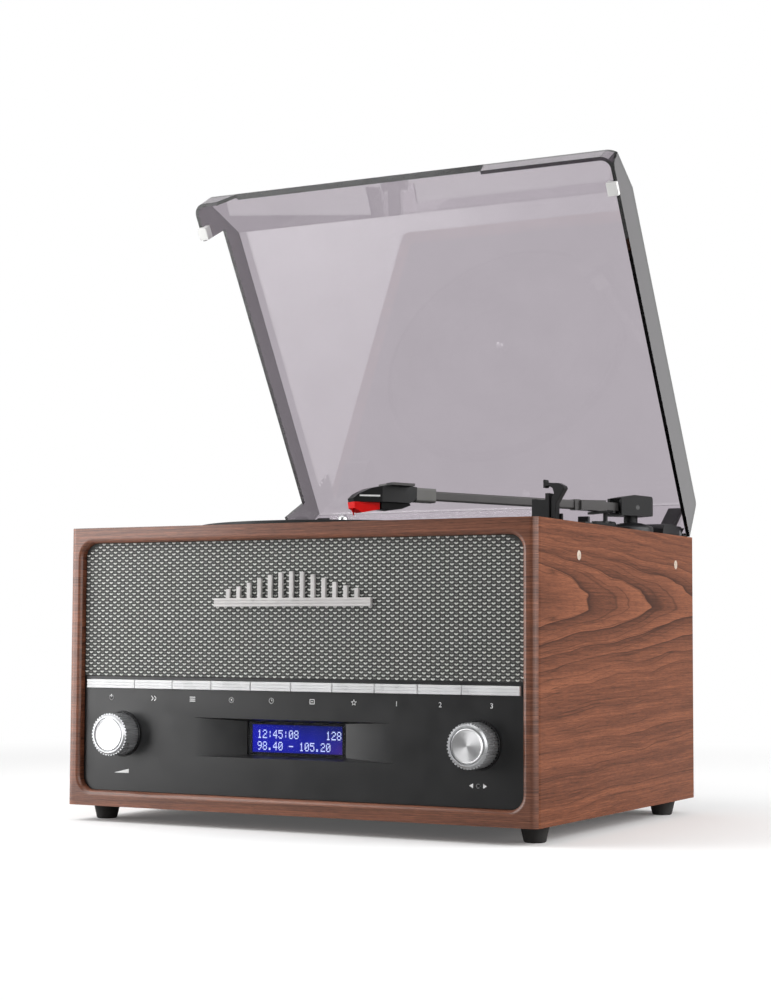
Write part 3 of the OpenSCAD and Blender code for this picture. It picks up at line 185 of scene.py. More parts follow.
def walnut(name, along, up, heart, wander, specular, gloss):
    """Walnut veneer. Its grain runs along one direction and its height counts along up, each a weight on
    x, y and z. Nested arches, whose tips point along the grain, flatten into lines above and below."""
    s = Surface(name, Specular_IOR_Level=specular, Coat_Weight=gloss, Coat_Roughness=0.2)
    p = s.place()
    run = s.node("VectorMath", {0: p, 1: along}, operation="DOT_PRODUCT").outputs["Value"]
    rise = s.node("VectorMath", {0: p, 1: up}, operation="DOT_PRODUCT").outputs["Value"]
    flat = s.node("CombineXYZ", {0: run, 1: rise, 2: 0.0}).outputs[0]
    # Slow waves bend the lines
    wave = s.noise(s.stretch(flat, 0.009, 0.03, 1.0), 1.0, 2.0, 0.5)
    ripple = s.noise(s.stretch(flat, 0.02, 0.09, 1.0), 1.0, 2.0, 0.5)
    height = s.math("SUBTRACT", rise, heart)
    height = s.math("ADD", height, s.spread(wave, 0.0, 1.0, -7.0 * wander, 7.0 * wander))
    height = s.math("ADD", height, s.spread(ripple, 0.0, 1.0, -1.5 * wander, 1.5 * wander))
    above = s.math("MAXIMUM", height, 0.0)
    below = s.math("MAXIMUM", s.math("MULTIPLY", height, -1.0), 0.0)
    # Each arch is a parabola above the heart line and a sharper bend below it
    above = s.math("ADD", s.math("MULTIPLY", s.math("POWER", above, 2.0), 0.13),
                   s.math("MULTIPLY", s.math("POWER", above, 4.0), 0.00008))
    below = s.math("ADD", s.math("MULTIPLY", below, 5.0),
                   s.math("MULTIPLY", s.math("POWER", below, 2.0), 0.14))
    ring = s.math("ADD", s.math("ADD", above, below), run)
    ring = s.math("ADD", ring, s.spread(ripple, 0.0, 1.0, -12.0 * wander, 12.0 * wander))
    phase = s.math("FRACT", s.math("MULTIPLY", s.math("SUBTRACT", ring, FIRST_TIP), 1 / TIP_PITCH))
    # Outside its dark line each ring starts brown and grows paler up to the next line
    nearness = s.spread(s.math("ABSOLUTE", height), 12.0, 42.0, 0.85, 0.12)
    tone = s.spread(phase, 0.0, 1.0, 0.12, 0.88)
    line = s.math("MAXIMUM", s.spread(phase, 0.0, 0.09, 1.0, 0.0), s.spread(phase, 0.985, 1.0, 0.0, 0.6))
    # Away from the heart, bands of uneven width follow the lines
    band_place = s.node("CombineXYZ", {0: s.math("MULTIPLY", run, 0.002), 1: s.math("MULTIPLY", ring, 0.0042),
                                       2: s.math("MULTIPLY", rise, 0.012)}).outputs[0]
    bands = s.noise(band_place, 1.0, 3.0, 0.55)
    streaks = s.noise(s.stretch(flat, 0.02, 0.9, 1.0), 1.0, 4.0, 0.65)
    fibres = s.noise(s.stretch(flat, 0.12, 3.0, 1.0), 1.0, 3.0, 0.7)
    far_tone = s.spread(bands, 0.3, 0.7, 0.25, 0.8)
    tone = s.node("Mix", {"Factor": nearness, "A": far_tone, "B": tone}, data_type="FLOAT").outputs[0]
    tone = s.math("ADD", tone, s.spread(streaks, 0.25, 0.75, -0.30, 0.30))
    tone = s.math("ADD", tone, s.spread(fibres, 0.25, 0.75, -0.32, 0.32), clamp=True)
    colour = s.ramp(tone, (0.0, srgb(78, 47, 35)), (0.3, srgb(106, 66, 50)), (0.62, srgb(134, 83, 61)),
                    (1.0, srgb(162, 102, 74)))
    dark = s.math("MULTIPLY", line, s.spread(s.math("ABSOLUTE", height), 16.0, 60.0, 0.75, 0.2))
    colour = s.mix(dark, colour, srgb(62, 40, 34))
    # A few long thin dark lines, and pores as short ticks along the grain
    thin = s.noise(s.node("CombineXYZ", {0: s.math("MULTIPLY", run, 0.003),
                                         1: s.math("MULTIPLY", ring, 0.016), 2: 7.0}).outputs[0], 1.0, 1.0)
    off_line = s.math("ABSOLUTE", s.math("SUBTRACT", thin, 0.5))
    thread = s.math("SUBTRACT", 1.0, s.spread(off_line, 0.0, 0.02, 0.0, 1.0))
    colour = s.mix(s.math("MULTIPLY", thread, 0.55), colour, srgb(56, 36, 29))
    ticks = s.noise(s.stretch(flat, 0.16, 1.9, 1.0), 1.0, 2.0, 0.6)
    pores = s.spread(ticks, 0.56, 0.70, 0.0, 1.0)
    colour = s.mix(s.math("MULTIPLY", pores, 0.4), colour, srgb(58, 38, 32))
    s.set(Base_Color=colour, Roughness=s.spread(fibres, 0.3, 0.7, 0.40, 0.52))
    relief = s.math("SUBTRACT", s.math("MULTIPLY", fibres, 0.5), s.math("MULTIPLY", pores, 0.6))
    s.bump(relief, 0.04, 0.5)
    return s.material


def clear_lid(name, volume_density, low_tint, high_tint, index):
    """Clear plastic that tints the light which goes through it, so long ways through its edges are dark.
    Light that casts shadows passes straight through."""
    s = Surface(name, Transmission_Weight=1.0, IOR=index)
    p = s.place()
    haze = s.noise(p, 0.03, 2.0)
    s.set(Roughness=s.spread(haze, 0.3, 0.7, 0.004, 0.02),
          Base_Color=s.mix(s.spread(haze, 0.3, 0.7, 0.0, 1.0), grey(low_tint), grey(high_tint)))
    absorb = s.node("VolumeAbsorption", {"Color": (0.12, 0.0, 0.12, 1), "Density": volume_density})
    s.link(absorb.outputs[0], s.out.inputs["Volume"])
    through = s.node("BsdfTransparent", {0: (0.70, 0.66, 0.70, 1)})
    path = s.node("LightPath")
    both = s.node("MixShader", {0: path.outputs["Is Shadow Ray"]})
    s.link(s.shader.outputs[0], both.inputs[1])
    s.link(through.outputs[0], both.inputs[2])
    s.link(both.outputs[0], s.out.inputs[0])
    return s.material


def display_face(name):
    """The lit blue field of the display: brightest at its left, duller above, a little violet at its right."""
    s = Surface(name, Roughness=0.5, Specular_IOR_Level=0.1)
    p = s.place()
    parts = s.node("SeparateXYZ", {0: p}).outputs
    colour = s.mix(s.spread(parts["X"], -30.0, 26.0, 0.0, 1.0), srgb(6, 12, 160), srgb(16, 26, 120))
    top = s.math("MULTIPLY", s.spread(parts["Z"], 54.0, 63.0, 0.0, 1.0),
                 s.spread(parts["X"], -20.0, 10.0, 0.0, 0.7))
    colour = s.mix(top, colour, srgb(10, 20, 86))
    corner = s.math("MULTIPLY", s.spread(parts["X"], 16.0, 34.0, 0.0, 1.0),
                    s.spread(parts["Z"], 58.0, 46.0, 0.0, 0.8))
    colour = s.mix(corner, colour, srgb(74, 38, 114))
    glow = s.noise(p, 0.12, 1.0)
    colour = s.mix(s.spread(glow, 0.3, 0.7, 0.0, 0.25), colour, srgb(24, 32, 160))
    s.set(Base_Color=colour, Emission_Color=colour, Emission_Strength=0.16)
    return s.material


def lit_dots(name):
    s = Surface(name, Roughness=0.5, Specular_IOR_Level=0.1)
    glow = s.noise(s.place(), 0.4, 1.0)
    colour = s.mix(glow, srgb(188, 206, 250), srgb(226, 236, 255))
    s.set(Base_Color=colour, Emission_Color=colour, Emission_Strength=0.35)
    return s.material


def clear_pane(name):
    s = Surface(name, Transmission_Weight=1.0, IOR=1.08)
    haze = s.noise(s.place(), 0.05, 2.0)
    s.set(Roughness=s.spread(haze, 0.3, 0.7, 0.01, 0.05), Base_Color=s.mix(haze, grey(0.96), grey(1.0)))
    return s.material


def cloth(name, colour, other, rough=0.75, scale=1.6):
    """Woven threads of two close shades."""
    s = Surface(name, Sheen_Weight=0.25, Sheen_Roughness=0.5)
    p = s.place()
    threads = s.noise(s.stretch(p, 1.0, 1.0, 3.0), scale, 3.0, 0.6)
    s.set(Base_Color=s.mix(s.spread(threads, 0.3, 0.7, 0.0, 1.0), colour, other),
          Roughness=s.spread(threads, 0.3, 0.7, rough - 0.1, rough + 0.1))
    s.bump(threads, 0.12)
    return s.material


WOOD_FRONT = walnut("walnut_front", (1.0, 1.0, 0.0), (0.0, 0.0, 1.0), 300.0, 0.2, 0.22, 0.65)
WOOD_SIDE = walnut("walnut_side", (0.0, 1.0, 0.0), (0.0, 0.0, 1.0), HEART_Z, 1.0, 0.06, 0.0)
WOOD_LEVEL = walnut("walnut_level", (1.0, 0.0, 0.0), (0.0, 1.0, 0.6), 60.0, 0.4, 0.4, 0.3)
FASCIA = moulded("fascia_grey", srgb(26, 26, 27), 0.34, grain=8.0, depth=0.012, specular=0.5)
DECK = moulded("deck_black", srgb(24, 24, 26), 0.36, grain=5.0, depth=0.02)
BLACK = moulded("black_plastic", srgb(24, 24, 26), 0.42, grain=7.0)
ARM = moulded("arm_grey", srgb(40, 40, 41), 0.36, grain=7.0, depth=0.015, specular=0.12)
TUBE = moulded("arm_tube_grey", srgb(92, 90, 90), 0.34, grain=7.0, depth=0.01, specular=0.15)
COLLAR = moulded("arm_collar_grey", srgb(120, 119, 117), 0.34, grain=7.0, depth=0.01, specular=0.2)
NOSE = moulded("arm_nose_black", srgb(17, 17, 18), 0.34, grain=7.0, depth=0.01, specular=0.06)
RUBBER = moulded("rubber", srgb(44, 42, 41), 0.72, grain=4.0, depth=0.04)
MAT = moulded("mat_rubber", srgb(24, 24, 25), 0.62, grain=3.0, depth=0.04)
BUMPER = moulded("white_rubber", srgb(232, 232, 230), 0.55, grain=5.0)
SILVER = moulded("silver_paint", srgb(236, 236, 237), 0.30, grain=12.0, depth=0.004)
EMBLEM = moulded("emblem_silver", srgb(212, 209, 208), 0.30, grain=9.0, depth=0.01)
KNOB = moulded("knob_silver", srgb(196, 197, 199), 0.30, grain=9.0, depth=0.006, metallic=0.55)
SCREW = metal("warm_screw", (0.95, 0.82, 0.70, 1), 0.42, brush=(2.0, 2.0, 2.0))
SPUN = metal("spun_cap", (0.79, 0.79, 0.80, 1), 0.33, brush=(5.0, 0.5, 5.0), depth=0.002,
             anisotropic=0.85, round_axis="Y")
STEEL = metal("steel", (0.60, 0.60, 0.61, 1), 0.28, brush=(2.0, 2.0, 2.0))
PLATTER = metal("platter_paint", (0.035, 0.035, 0.037, 1), 0.34, brush=(3.0, 3.0, 3.0))
BRASS = metal("brass", (0.72, 0.52, 0.24, 1), 0.30, brush=(2.0, 2.0, 4.0))
RED = moulded("stylus_red", srgb(226, 10, 8), 0.25, grain=9.0, depth=0.006, specular=0.08)
BOARD = moulded("circuit_board", srgb(28, 84, 44), 0.35, grain=3.0)
RAW_WOOD = cloth("baffle_board", srgb(118, 92, 64), srgb(136, 108, 78), scale=0.8)
PAPER = cloth("cone_paper", srgb(22, 22, 22), srgb(34, 34, 34))
FERRITE = moulded("ferrite", srgb(84, 84, 86), 0.6)
LID = clear_lid("tinted_clear", 290.0, 0.97, 1.0, 1.75)
# Painted shade: a darker, less reflective copy of the same clear plastic, for the lid's outer side walls,
# which are made of the same plastic as the rest
LID_SHADED_ENDS = clear_lid("tinted_clear_shaded_ends", 290.0, 0.38, 0.42, 1.3)
BLUE = display_face("display_blue")
DOTS = lit_dots("display_dots")
PANE = clear_pane("display_pane")
PRINT = moulded("white_print", srgb(244, 244, 244), 0.6, grain=10.0, depth=0.004)
BORDER = moulded("display_border", srgb(9, 9, 11), 0.4, grain=1.0, depth=0.002, specular=0.15)
DARK_THREAD = cloth("grille_dark", srgb(42, 43, 41), srgb(62, 63, 61), scale=2.2)
MID_THREAD = cloth("grille_middle", srgb(84, 85, 82), srgb(110, 111, 108), rough=0.65, scale=2.5)
LIGHT_THREAD = cloth("grille_light", srgb(208, 209, 205), srgb(238, 239, 235), rough=0.5, scale=2.5)


# ---- Pieces ----

def attach(piece, body, slot, *replaced):
    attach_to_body(piece, body)
    if replaced:
        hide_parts(*replaced)
    return piece


def new_piece(name, mesh, *materials):
    piece = bpy.data.objects.new(name, mesh)
    bpy.context.scene.collection.objects.link(piece)
    piece.data.materials.clear()
    for m in materials:
        piece.data.materials.append(m)
    return piece


def apply_modifiers(piece):
    bpy.context.view_layer.update()
    evaluated = piece.evaluated_get(bpy.context.evaluated_depsgraph_get())
    mesh = bpy.data.meshes.new_from_object(evaluated)
    old = piece.data
    piece.modifiers.clear()
    piece.data = mesh
    bpy.data.meshes.remove(old)


def smooth(piece, angle=32):
    """Shades rounded faces as round, and keeps the large flat ones flat."""
    piece.data.polygons.foreach_set("use_smooth", [True] * len(piece.data.polygons))
    piece.data.set_sharp_from_angle(angle=math.radians(angle))
    weights = piece.modifiers.new("flat_faces", "WEIGHTED_NORMAL")
    weights.keep_sharp = True
    weights.weight = 90
    apply_modifiers(piece)


def clean_copy(node):
    """A CAD node's mesh with whole faces again, ready to be softened."""
    work = bmesh.new()
    work.from_mesh(frame["nodes"][node].data)
    bmesh.ops.remove_doubles(work, verts=work.verts, dist=0.002 * MM)
    bmesh.ops.dissolve_limit(work, angle_limit=math.radians(0.5), verts=work.verts, edges=work.edges)
    mesh = bpy.data.meshes.new(node)
    work.to_mesh(mesh)
    work.free()
    for name in [a.name for a in mesh.attributes if a.name.startswith("custom_normal")]:
        mesh.attributes.remove(mesh.attributes[name])
    return mesh


def dressed(node, material, soften=0.3, segments=2, suffix="_finish"):
    """A copy of a CAD node with softened edges, which stands for it."""
    piece = new_piece(node + suffix, clean_copy(node), material)
    if soften:
        bevel = piece.modifiers.new("soften", "BEVEL")
        bevel.width = soften * MM
        bevel.segments = segments
        bevel.limit_method = "ANGLE"
        bevel.angle_limit = math.radians(35)
        bevel.use_clamp_overlap = True
        apply_modifiers(piece)
    smooth(piece)
    return attach(piece, NODE_BODY[node], NODE_SLOT[node], node)


def painted(node, material):
    """A CAD node that keeps its own mesh and gets a finish."""
    mesh = frame["nodes"][node].data
    mesh.materials.clear()
    mesh.materials.append(material)


def build_case():
    case = dressed("case_shell", WOOD_FRONT, soften=0.0)
    case.data.materials.append(WOOD_SIDE)
    case.data.materials.append(WOOD_LEVEL)
    for face in case.data.polygons:
        if abs(face.normal.z) > 0.7:
            face.material_index = 2
        elif abs(face.normal.x) > 0.9:
            face.material_index = 1


def build_button(node):
    """A key with two fine grooves along its face, a little short of its neighbours."""
    low, high = (case_mm(corner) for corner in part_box(node))
    mesh = clean_copy(node)
    face_back = low[1] + 0.7
    heights = [case_mm(v.co)[2] for v in mesh.vertices if case_mm(v.co)[1] < low[1] + 0.1]
    for v in mesh.vertices:
        v.co.y = max(v.co.y, at(0, face_back - 0.05, 0).y)
    x0, x1, z0, z1 = low[0] + 0.25, high[0] - 0.25, min(heights), max(heights)
    tall = z1 - z0
    profile = [(face_back, 0.0), (low[1] + 0.25, 0.0), (low[1], 0.25)]
    for groove in (0.34, 0.67):
        middle = tall * groove
        profile += [(low[1], middle - 0.3), (low[1] + 0.45, middle - 0.15), (low[1] + 0.45, middle + 0.15),
                    (low[1], middle + 0.3)]
    profile += [(low[1], tall - 0.25), (low[1] + 0.25, tall), (face_back, tall)]
    n = len(profile)
    corners = [(x, y, z0 + z) for x in (x0, x1) for y, z in profile]
    faces = [tuple(range(n)), tuple(range(2 * n - 1, n - 1, -1))]
    faces += [(i, n + i, n + (i + 1) % n, (i + 1) % n) for i in range(n)]
    face = plates(node + "_face", SILVER, [(corners, faces)])
    body = new_piece(node + "_finish", mesh, SILVER)
    work = bmesh.new()
    work.from_mesh(mesh)
    work.from_mesh(face.data)
    bmesh.ops.recalc_face_normals(work, faces=work.faces)
    work.to_mesh(mesh)
    work.free()
    bpy.data.objects.remove(face)
    attach(body, NODE_BODY[node], NODE_SLOT[node], node)


def build_plain_parts():
    finishes = {
        "feet": (RUBBER, 0.4), "top_deck": (DECK, 0.3), "front_panel": (FASCIA, 0.3),
        "rear_panel": (BLACK, 0.2),
        "case_screws": (STEEL, 0.15), "side_screws": (SCREW, 0.1), "emblem_bar": (EMBLEM, 0.35),
        "rear_sockets": (STEEL, 0.2), "power_inlet": (BLACK, 0.2), "spindle": (STEEL, 0.0),
        "tonearm_base": (BLACK, 0.3), "arm_rest": (ARM, 0.3), "hinge_brackets": (BLACK, 0.4),
        "hinge_pins": (STEEL, 0.2), "platter": (PLATTER, 0.3), "platter_mat": (MAT, 0.2),
        "arm_yoke": (ARM, 0.4), "arm_tube": (TUBE, 0.3), "headshell": (ARM, 0.3), "cartridge": (NOSE, 0.2),
        "stylus": (RED, 0.25), "rest_clip": (ARM, 0.3), "cue_lever": (ARM, 0.3), "cue_lift": (ARM, 0.2),
        "speed_switch": (BLACK, 0.3), "lid_bumpers": (BUMPER, 0.5), "lid_hinges": (BLACK, 0.3),
        "volume_knob": (KNOB, 0.12), "tune_knob": (KNOB, 0.12),
        "volume_cap": (SPUN, 0.0), "tune_cap": (SPUN, 0.0),
    }
    for node, (material, soften) in finishes.items():
        dressed(node, material, soften)
    for i in range(1, 11):
        build_button(f"button_{i}")
    hidden = {
        "speaker_baffle": RAW_WOOD, "control_board": BOARD, "tact_switches": BLACK, "encoders": STEEL,
        "speaker_baskets": BLACK, "speaker_cones": PAPER, "speaker_magnets": FERRITE, "main_board": BOARD,
        "motor": STEEL, "drive_belt": RUBBER, "tune_plunger": BLACK, "motor_pulley": BRASS, "arm_pin": BLACK,
        "lcd_module": BLACK, "grille_cloth": DARK_THREAD,
    }
    for node, material in hidden.items():
        painted(node, material)


def plate(outline, back, front, chamfer=0.0):
    """Corners and faces of a closed plate: an outline of (x, z) between two depths in y."""
    n = len(outline)
    middle = [sum(c) / n for c in zip(*outline)]
    rings = [(back, 0.0), (front, 0.0)]
    if chamfer:
        rings = [(back, 0.0), (front + chamfer, 0.0), (front, chamfer)]
    corners = []
    for depth, inset in rings:
        for x, z in outline:
            reach = math.hypot(x - middle[0], z - middle[1]) or 1.0
            keep = 1 - min(inset, 0.6 * reach) / reach
            corners.append((middle[0] + (x - middle[0]) * keep, depth, middle[1] + (z - middle[1]) * keep))
    faces = [tuple(reversed(range(n)))]
    for r in range(len(rings) - 1):
        here, beyond = r * n, (r + 1) * n
        faces += [(here + i, here + (i + 1) % n, beyond + (i + 1) % n, beyond + i) for i in range(n)]
    faces.append(tuple(range((len(rings) - 1) * n, len(rings) * n)))
    return corners, faces


def closed_mesh(name, corners, faces):
    """A mesh of closed forms whose faces all point outwards."""
    mesh = bpy.data.meshes.new(name)
    mesh.from_pydata(corners, [], faces)
    work = bmesh.new()
    work.from_mesh(mesh)
    bmesh.ops.recalc_face_normals(work, faces=work.faces)
    work.to_mesh(mesh)
    work.free()
    return mesh


def plates(name, material, shapes):
    """One piece from many closed plates, each given by its corners in case millimetres and its faces."""
    corners, faces = [], []
    for some_corners, some_faces in shapes:
        start = len(corners)
        corners += [at(*c) for c in some_corners]
        faces += [tuple(i + start for i in f) for f in some_faces]
    return new_piece(name, closed_mesh(name, corners, faces), material)


def case_mm(point):
    """The case millimetres of a place in the frame."""
    return point.x / MM, (point.y - case_low.y) / MM, (point.z - case_low.z) / MM


def build_grille():
    """The woven cloth: rows of pale threads that surface between darker ones."""
    low, high = (case_mm(corner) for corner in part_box("grille_cloth"))
    step_x, step_z, edge, round_r = 2.975, 1.75, 1.15, 9.0
    smile = [(-1.38, 0.18), (-1.1, 0.58), (-0.5, 0.58), (0.0, 0.18), (0.5, 0.58), (1.1, 0.58), (1.38, 0.18),
             (0.72, -0.44), (0.0, -0.66), (-0.72, -0.44)]

    def inside(x, z):
        if not (low[0] + edge < x < high[0] - edge and low[2] + 0.8 < z < high[2] - 0.7):
            return False
        over_x = abs(x) - (high[0] - round_r)
        over_z = z - (high[2] - round_r)
        return over_x < 0 or over_z < 0 or math.hypot(over_x, over_z) < round_r - edge

    pale, middle = [], []
    for row in range(int((high[2] - low[2]) / step_z) + 1):
        for column in range(-54, 55):
            x, z = column * step_x, low[2] + 0.9 + row * step_z
            if not inside(x, z):
                continue
            sway = 0.12 * math.sin(column * 1.7 + row * 2.9)
            if (row + column) % 2 == 0:
                outline = [(x + a + sway, z + b) for a, b in smile]
                pale.append(plate(outline, 5.05, 4.62, 0.2))
            else:
                outline = [(x + a * 0.92 + sway, z + b * 0.8) for a, b in smile]
                middle.append(plate(outline, 5.05, 4.86))
    for name, material, shapes in (("grille_pale_threads", LIGHT_THREAD, pale),
                                   ("grille_middle_threads", MID_THREAD, middle)):
        attach(plates(name, material, shapes), "cabinet", "grille_fabric")


DIGITS = {
    "0": "01110 10001 10011 10101 11001 10001 01110", "1": "00100 01100 00100 00100 00100 00100 01110",
    "2": "01110 10001 00001 00110 01000 10000 11111", "4": "00010 00110 01010 10010 11111 00010 00010",
    "5": "11111 10000 11110 00001 00001 10001 01110", "8": "01110 10001 10001 01110 10001 10001 01110",
    "9": "01110 10001 10001 01111 00001 00010 01100", ":": "00000 00100 00100 00000 00100 00100 00000",
    "-": "00000 00000 00000 11111 00000 00000 00000", ".": "00000 00000 00000 00000 00000 01100 01100",
}


def build_display():
    """A clear pane, a black border behind it, the lit blue field, and two rows of figures made of dots."""
    low, high = (case_mm(corner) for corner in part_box("lcd_window"))
    half_x, base, top = high[0], low[2], high[2]
    field_x, field_low, field_high = 31.4, base + 1.7, top - 1.6

    def slab(x0, z0, x1, z1, back, front):
        return plate([(x0, z0), (x1, z0), (x1, z1), (x0, z1)], back, front)

    pane = plates("display_pane", PANE, [slab(-half_x, base, half_x, top, 11.5, 10.5)])
    attach(pane, "cabinet", "display_glass", "lcd_window")
    border = [slab(-half_x, base, -field_x, top, 11.95, 11.55), slab(field_x, base, half_x, top, 11.95, 11.55),
              slab(-field_x, base, field_x, field_low, 11.95, 11.55),
              slab(-field_x, field_high, field_x, top, 11.95, 11.55)]
    attach(plates("display_border", BORDER, border), "cabinet", "black_plastic")
    attach(plates("display_field", BLUE, [slab(-field_x, field_low, field_x, field_high, 11.95, 11.8)]),
           "cabinet", "display_blue")
    pitch, wide, tall = 3.70, 0.60, 0.74
    dots = []
    for text, row_top in (("12:45:08     128", top - 5.0), ("98.40 - 105.20", top - 12.1)):
        for place, sign in enumerate(text):
            for row, bits in enumerate(DIGITS.get(sign, "").split()):
                for column, bit in enumerate(bits):
                    if bit == "1":
                        x = -27.6 + place * pitch + column * wide
                        z = row_top - row * tall
                        dots.append(slab(x - 0.24, z - 0.29, x + 0.24, z + 0.29, 11.85, 11.7))
    attach(plates("display_figures", DOTS, dots), "cabinet", "display_blue")


PRINT_BACK, PRINT_FRONT = 5.03, 4.96    # depths of the printed signs, just proud of the panel's face


def stroke(points, width=0.5, closed=False):
    """Plates that draw a line through (x, z) points on the front panel."""
    drawn = []
    following = points[1:] + (points[:1] if closed else [])
    for (x0, z0), (x1, z1) in zip(points, following):
        along = Vector((x1 - x0, z1 - z0)).normalized() * width / 2
        across = Vector((-along.y, along.x))
        a, b = Vector((x0, z0)) - along * 0.6, Vector((x1, z1)) + along * 0.6
        corners = [tuple(a - across), tuple(b - across), tuple(b + across), tuple(a + across)]
        drawn.append(plate(corners, PRINT_BACK, PRINT_FRONT))
    return drawn


def ring(x, z, r, start=0, end=360, steps=20, width=0.5):
    """A ring or arc; its angles count clockwise from the top."""
    turn = [math.radians(start + (end - start) * i / steps) for i in range(steps + 1)]
    return stroke([(x + r * math.sin(a), z + r * math.cos(a)) for a in turn], width)


def filled(points):
    return [plate(points, PRINT_BACK, PRINT_FRONT)]


def build_prints():
    """White signs on the front panel: a plain sign under each of the first buttons, then 1, 2 and 3."""
    z = 67.9
    xs = [(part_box(f"button_{i}")[0].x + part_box(f"button_{i}")[1].x) / 2 / MM for i in range(1, 11)]
    xs.sort()
    signs = ring(xs[0], z, 1.45, 35, 325) + stroke([(xs[0], z + 0.3), (xs[0], z + 1.9)])
    for shift in (-1.5, 0.7):
        x = xs[1] + shift
        signs += stroke([(x - 0.6, z + 1.4), (x + 0.7, z), (x - 0.6, z - 1.4)])
    for shift in (-1.2, 0.0, 1.2):
        signs += stroke([(xs[2] - 1.9, z + shift), (xs[2] + 1.9, z + shift)])
    signs += ring(xs[3], z, 1.55) + filled([(xs[3] + 0.45 * math.sin(a), z + 0.45 * math.cos(a))
                                            for a in (math.radians(30 * i) for i in range(12))])
    signs += ring(xs[4], z, 1.55) + stroke([(xs[4], z + 1.0), (xs[4], z), (xs[4] + 0.8, z)], 0.36)
    frame_corners = [(xs[5] + a, z + b) for a, b in ((-1.5, -1.3), (1.5, -1.3), (1.5, 1.3), (-1.5, 1.3))]
    signs += stroke(frame_corners, closed=True) + stroke([(xs[5] - 0.5, z), (xs[5] + 0.5, z)])
    star = [(xs[6] + r * math.sin(a), z + r * math.cos(a))
            for a, r in ((math.radians(36 * i), 1.8 if i % 2 == 0 else 0.75) for i in range(10))]
    signs += stroke(star, 0.34, closed=True)
    # Under the knobs, a rising wedge and a pair of arrows
    knob_l, knob_r = (sum(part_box(n)[i].x for i in (0, 1)) / 2 / MM for n in ("volume_knob", "tune_knob"))
    low = 22.0
    signs += filled([(knob_l - 5.5, low - 1.1), (knob_l + 5.5, low - 1.1), (knob_l + 5.5, low + 1.5)])
    for side in (-1, 1):
        signs += filled([(knob_r + side * 5.6, low + 0.2), (knob_r + side * 3.2, low + 1.6),
                         (knob_r + side * 3.2, low - 1.2)])
    signs += ring(knob_r, low + 0.2, 1.0)
    attach(plates("panel_signs", PRINT, signs), "cabinet", "silver_plastic")
    for figure, x in zip("123", xs[7:]):
        text = bpy.data.curves.new("figure", "FONT")
        text.body, text.size, text.align_x, text.extrude = figure, 4.2 * MM, "CENTER", 0.035 * MM
        maker = bpy.data.objects.new("figure", text)
        maker.matrix_world = Matrix.Translation(at(x, 4.995, z - 1.5)) @ Matrix.Rotation(math.pi / 2, 4, "X")
        bpy.context.scene.collection.objects.link(maker)
        bpy.context.view_layer.update()
        mesh = bpy.data.meshes.new_from_object(maker)
        mesh.transform(maker.matrix_world)
        bpy.data.objects.remove(maker)
        attach(new_piece(f"panel_figure_{figure}", mesh, PRINT), "cabinet", "silver_plastic")


def ring_faces(steps, n):
    """Faces of a closed ring made of that many steps, with n corners at each."""
    faces = []
    for i in range(steps):
        following = (i + 1) % steps
        for j in range(n):
            k = (j + 1) % n
            faces.append((i * n + j, i * n + k, following * n + k, following * n + j))
    return faces


def turned(name, centre, profile, material, steps=96):
    """A ring turned about an axis along y: the profile lists (radius, y) corners in case millimetres."""
    x, z = centre
    corners = []
    for i in range(steps):
        a = math.tau * i / steps
        corners += [at(x + r * math.cos(a), y, z + r * math.sin(a)) for r, y in profile]
    piece = new_piece(name, closed_mesh(name, corners, ring_faces(steps, len(profile))), material)
    smooth(piece, 30)
    return piece


def build_knob_collars():
    """The black ring that shows behind each knob, in its well."""
    for node, name in (("volume_knob", "volume_collar"), ("tune_knob", "tune_collar")):
        low, high = (case_mm(corner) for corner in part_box(node))
        centre = ((low[0] + high[0]) / 2, (low[2] + high[2]) / 2)
        ring_shape = [(13.55, 6.1), (13.55, 4.0), (13.75, 3.8), (14.05, 3.8), (14.2, 4.0), (14.2, 6.1)]
        attach(turned(name, centre, ring_shape, BLACK), "cabinet", "black_plastic")


ARM_PIVOT = (136.0, 215.0, 193.0)    # middle of the cross pin, on the case
ARM_IN, ARM_RISE = 36.9, 1.15        # how far the arm is turned in and tilted at rest, in degrees
ARM_L, HEAD_L, NOSE_L, COLLAR_L = 204.4, 43.9, 18.4, 13.5
PAD_Z = 5.0                          # the finger pad lies above this height


def arm_frame():
    """The arm's own frame: millimetres above the stylus's tip, with y back along the arm."""
    turn = Matrix.Rotation(math.radians(-ARM_IN), 4, "Z") @ Matrix.Rotation(math.radians(-ARM_RISE), 4, "X")
    return Matrix.Translation(at(*ARM_PIVOT)) @ turn @ Matrix.Scale(MM, 4) @ Matrix.Translation((0, -ARM_L, 0))


def nose_side(y):
    """Half the headshell's width along its nose."""
    return 4 + (y + 0.6) * 4.5 / 19


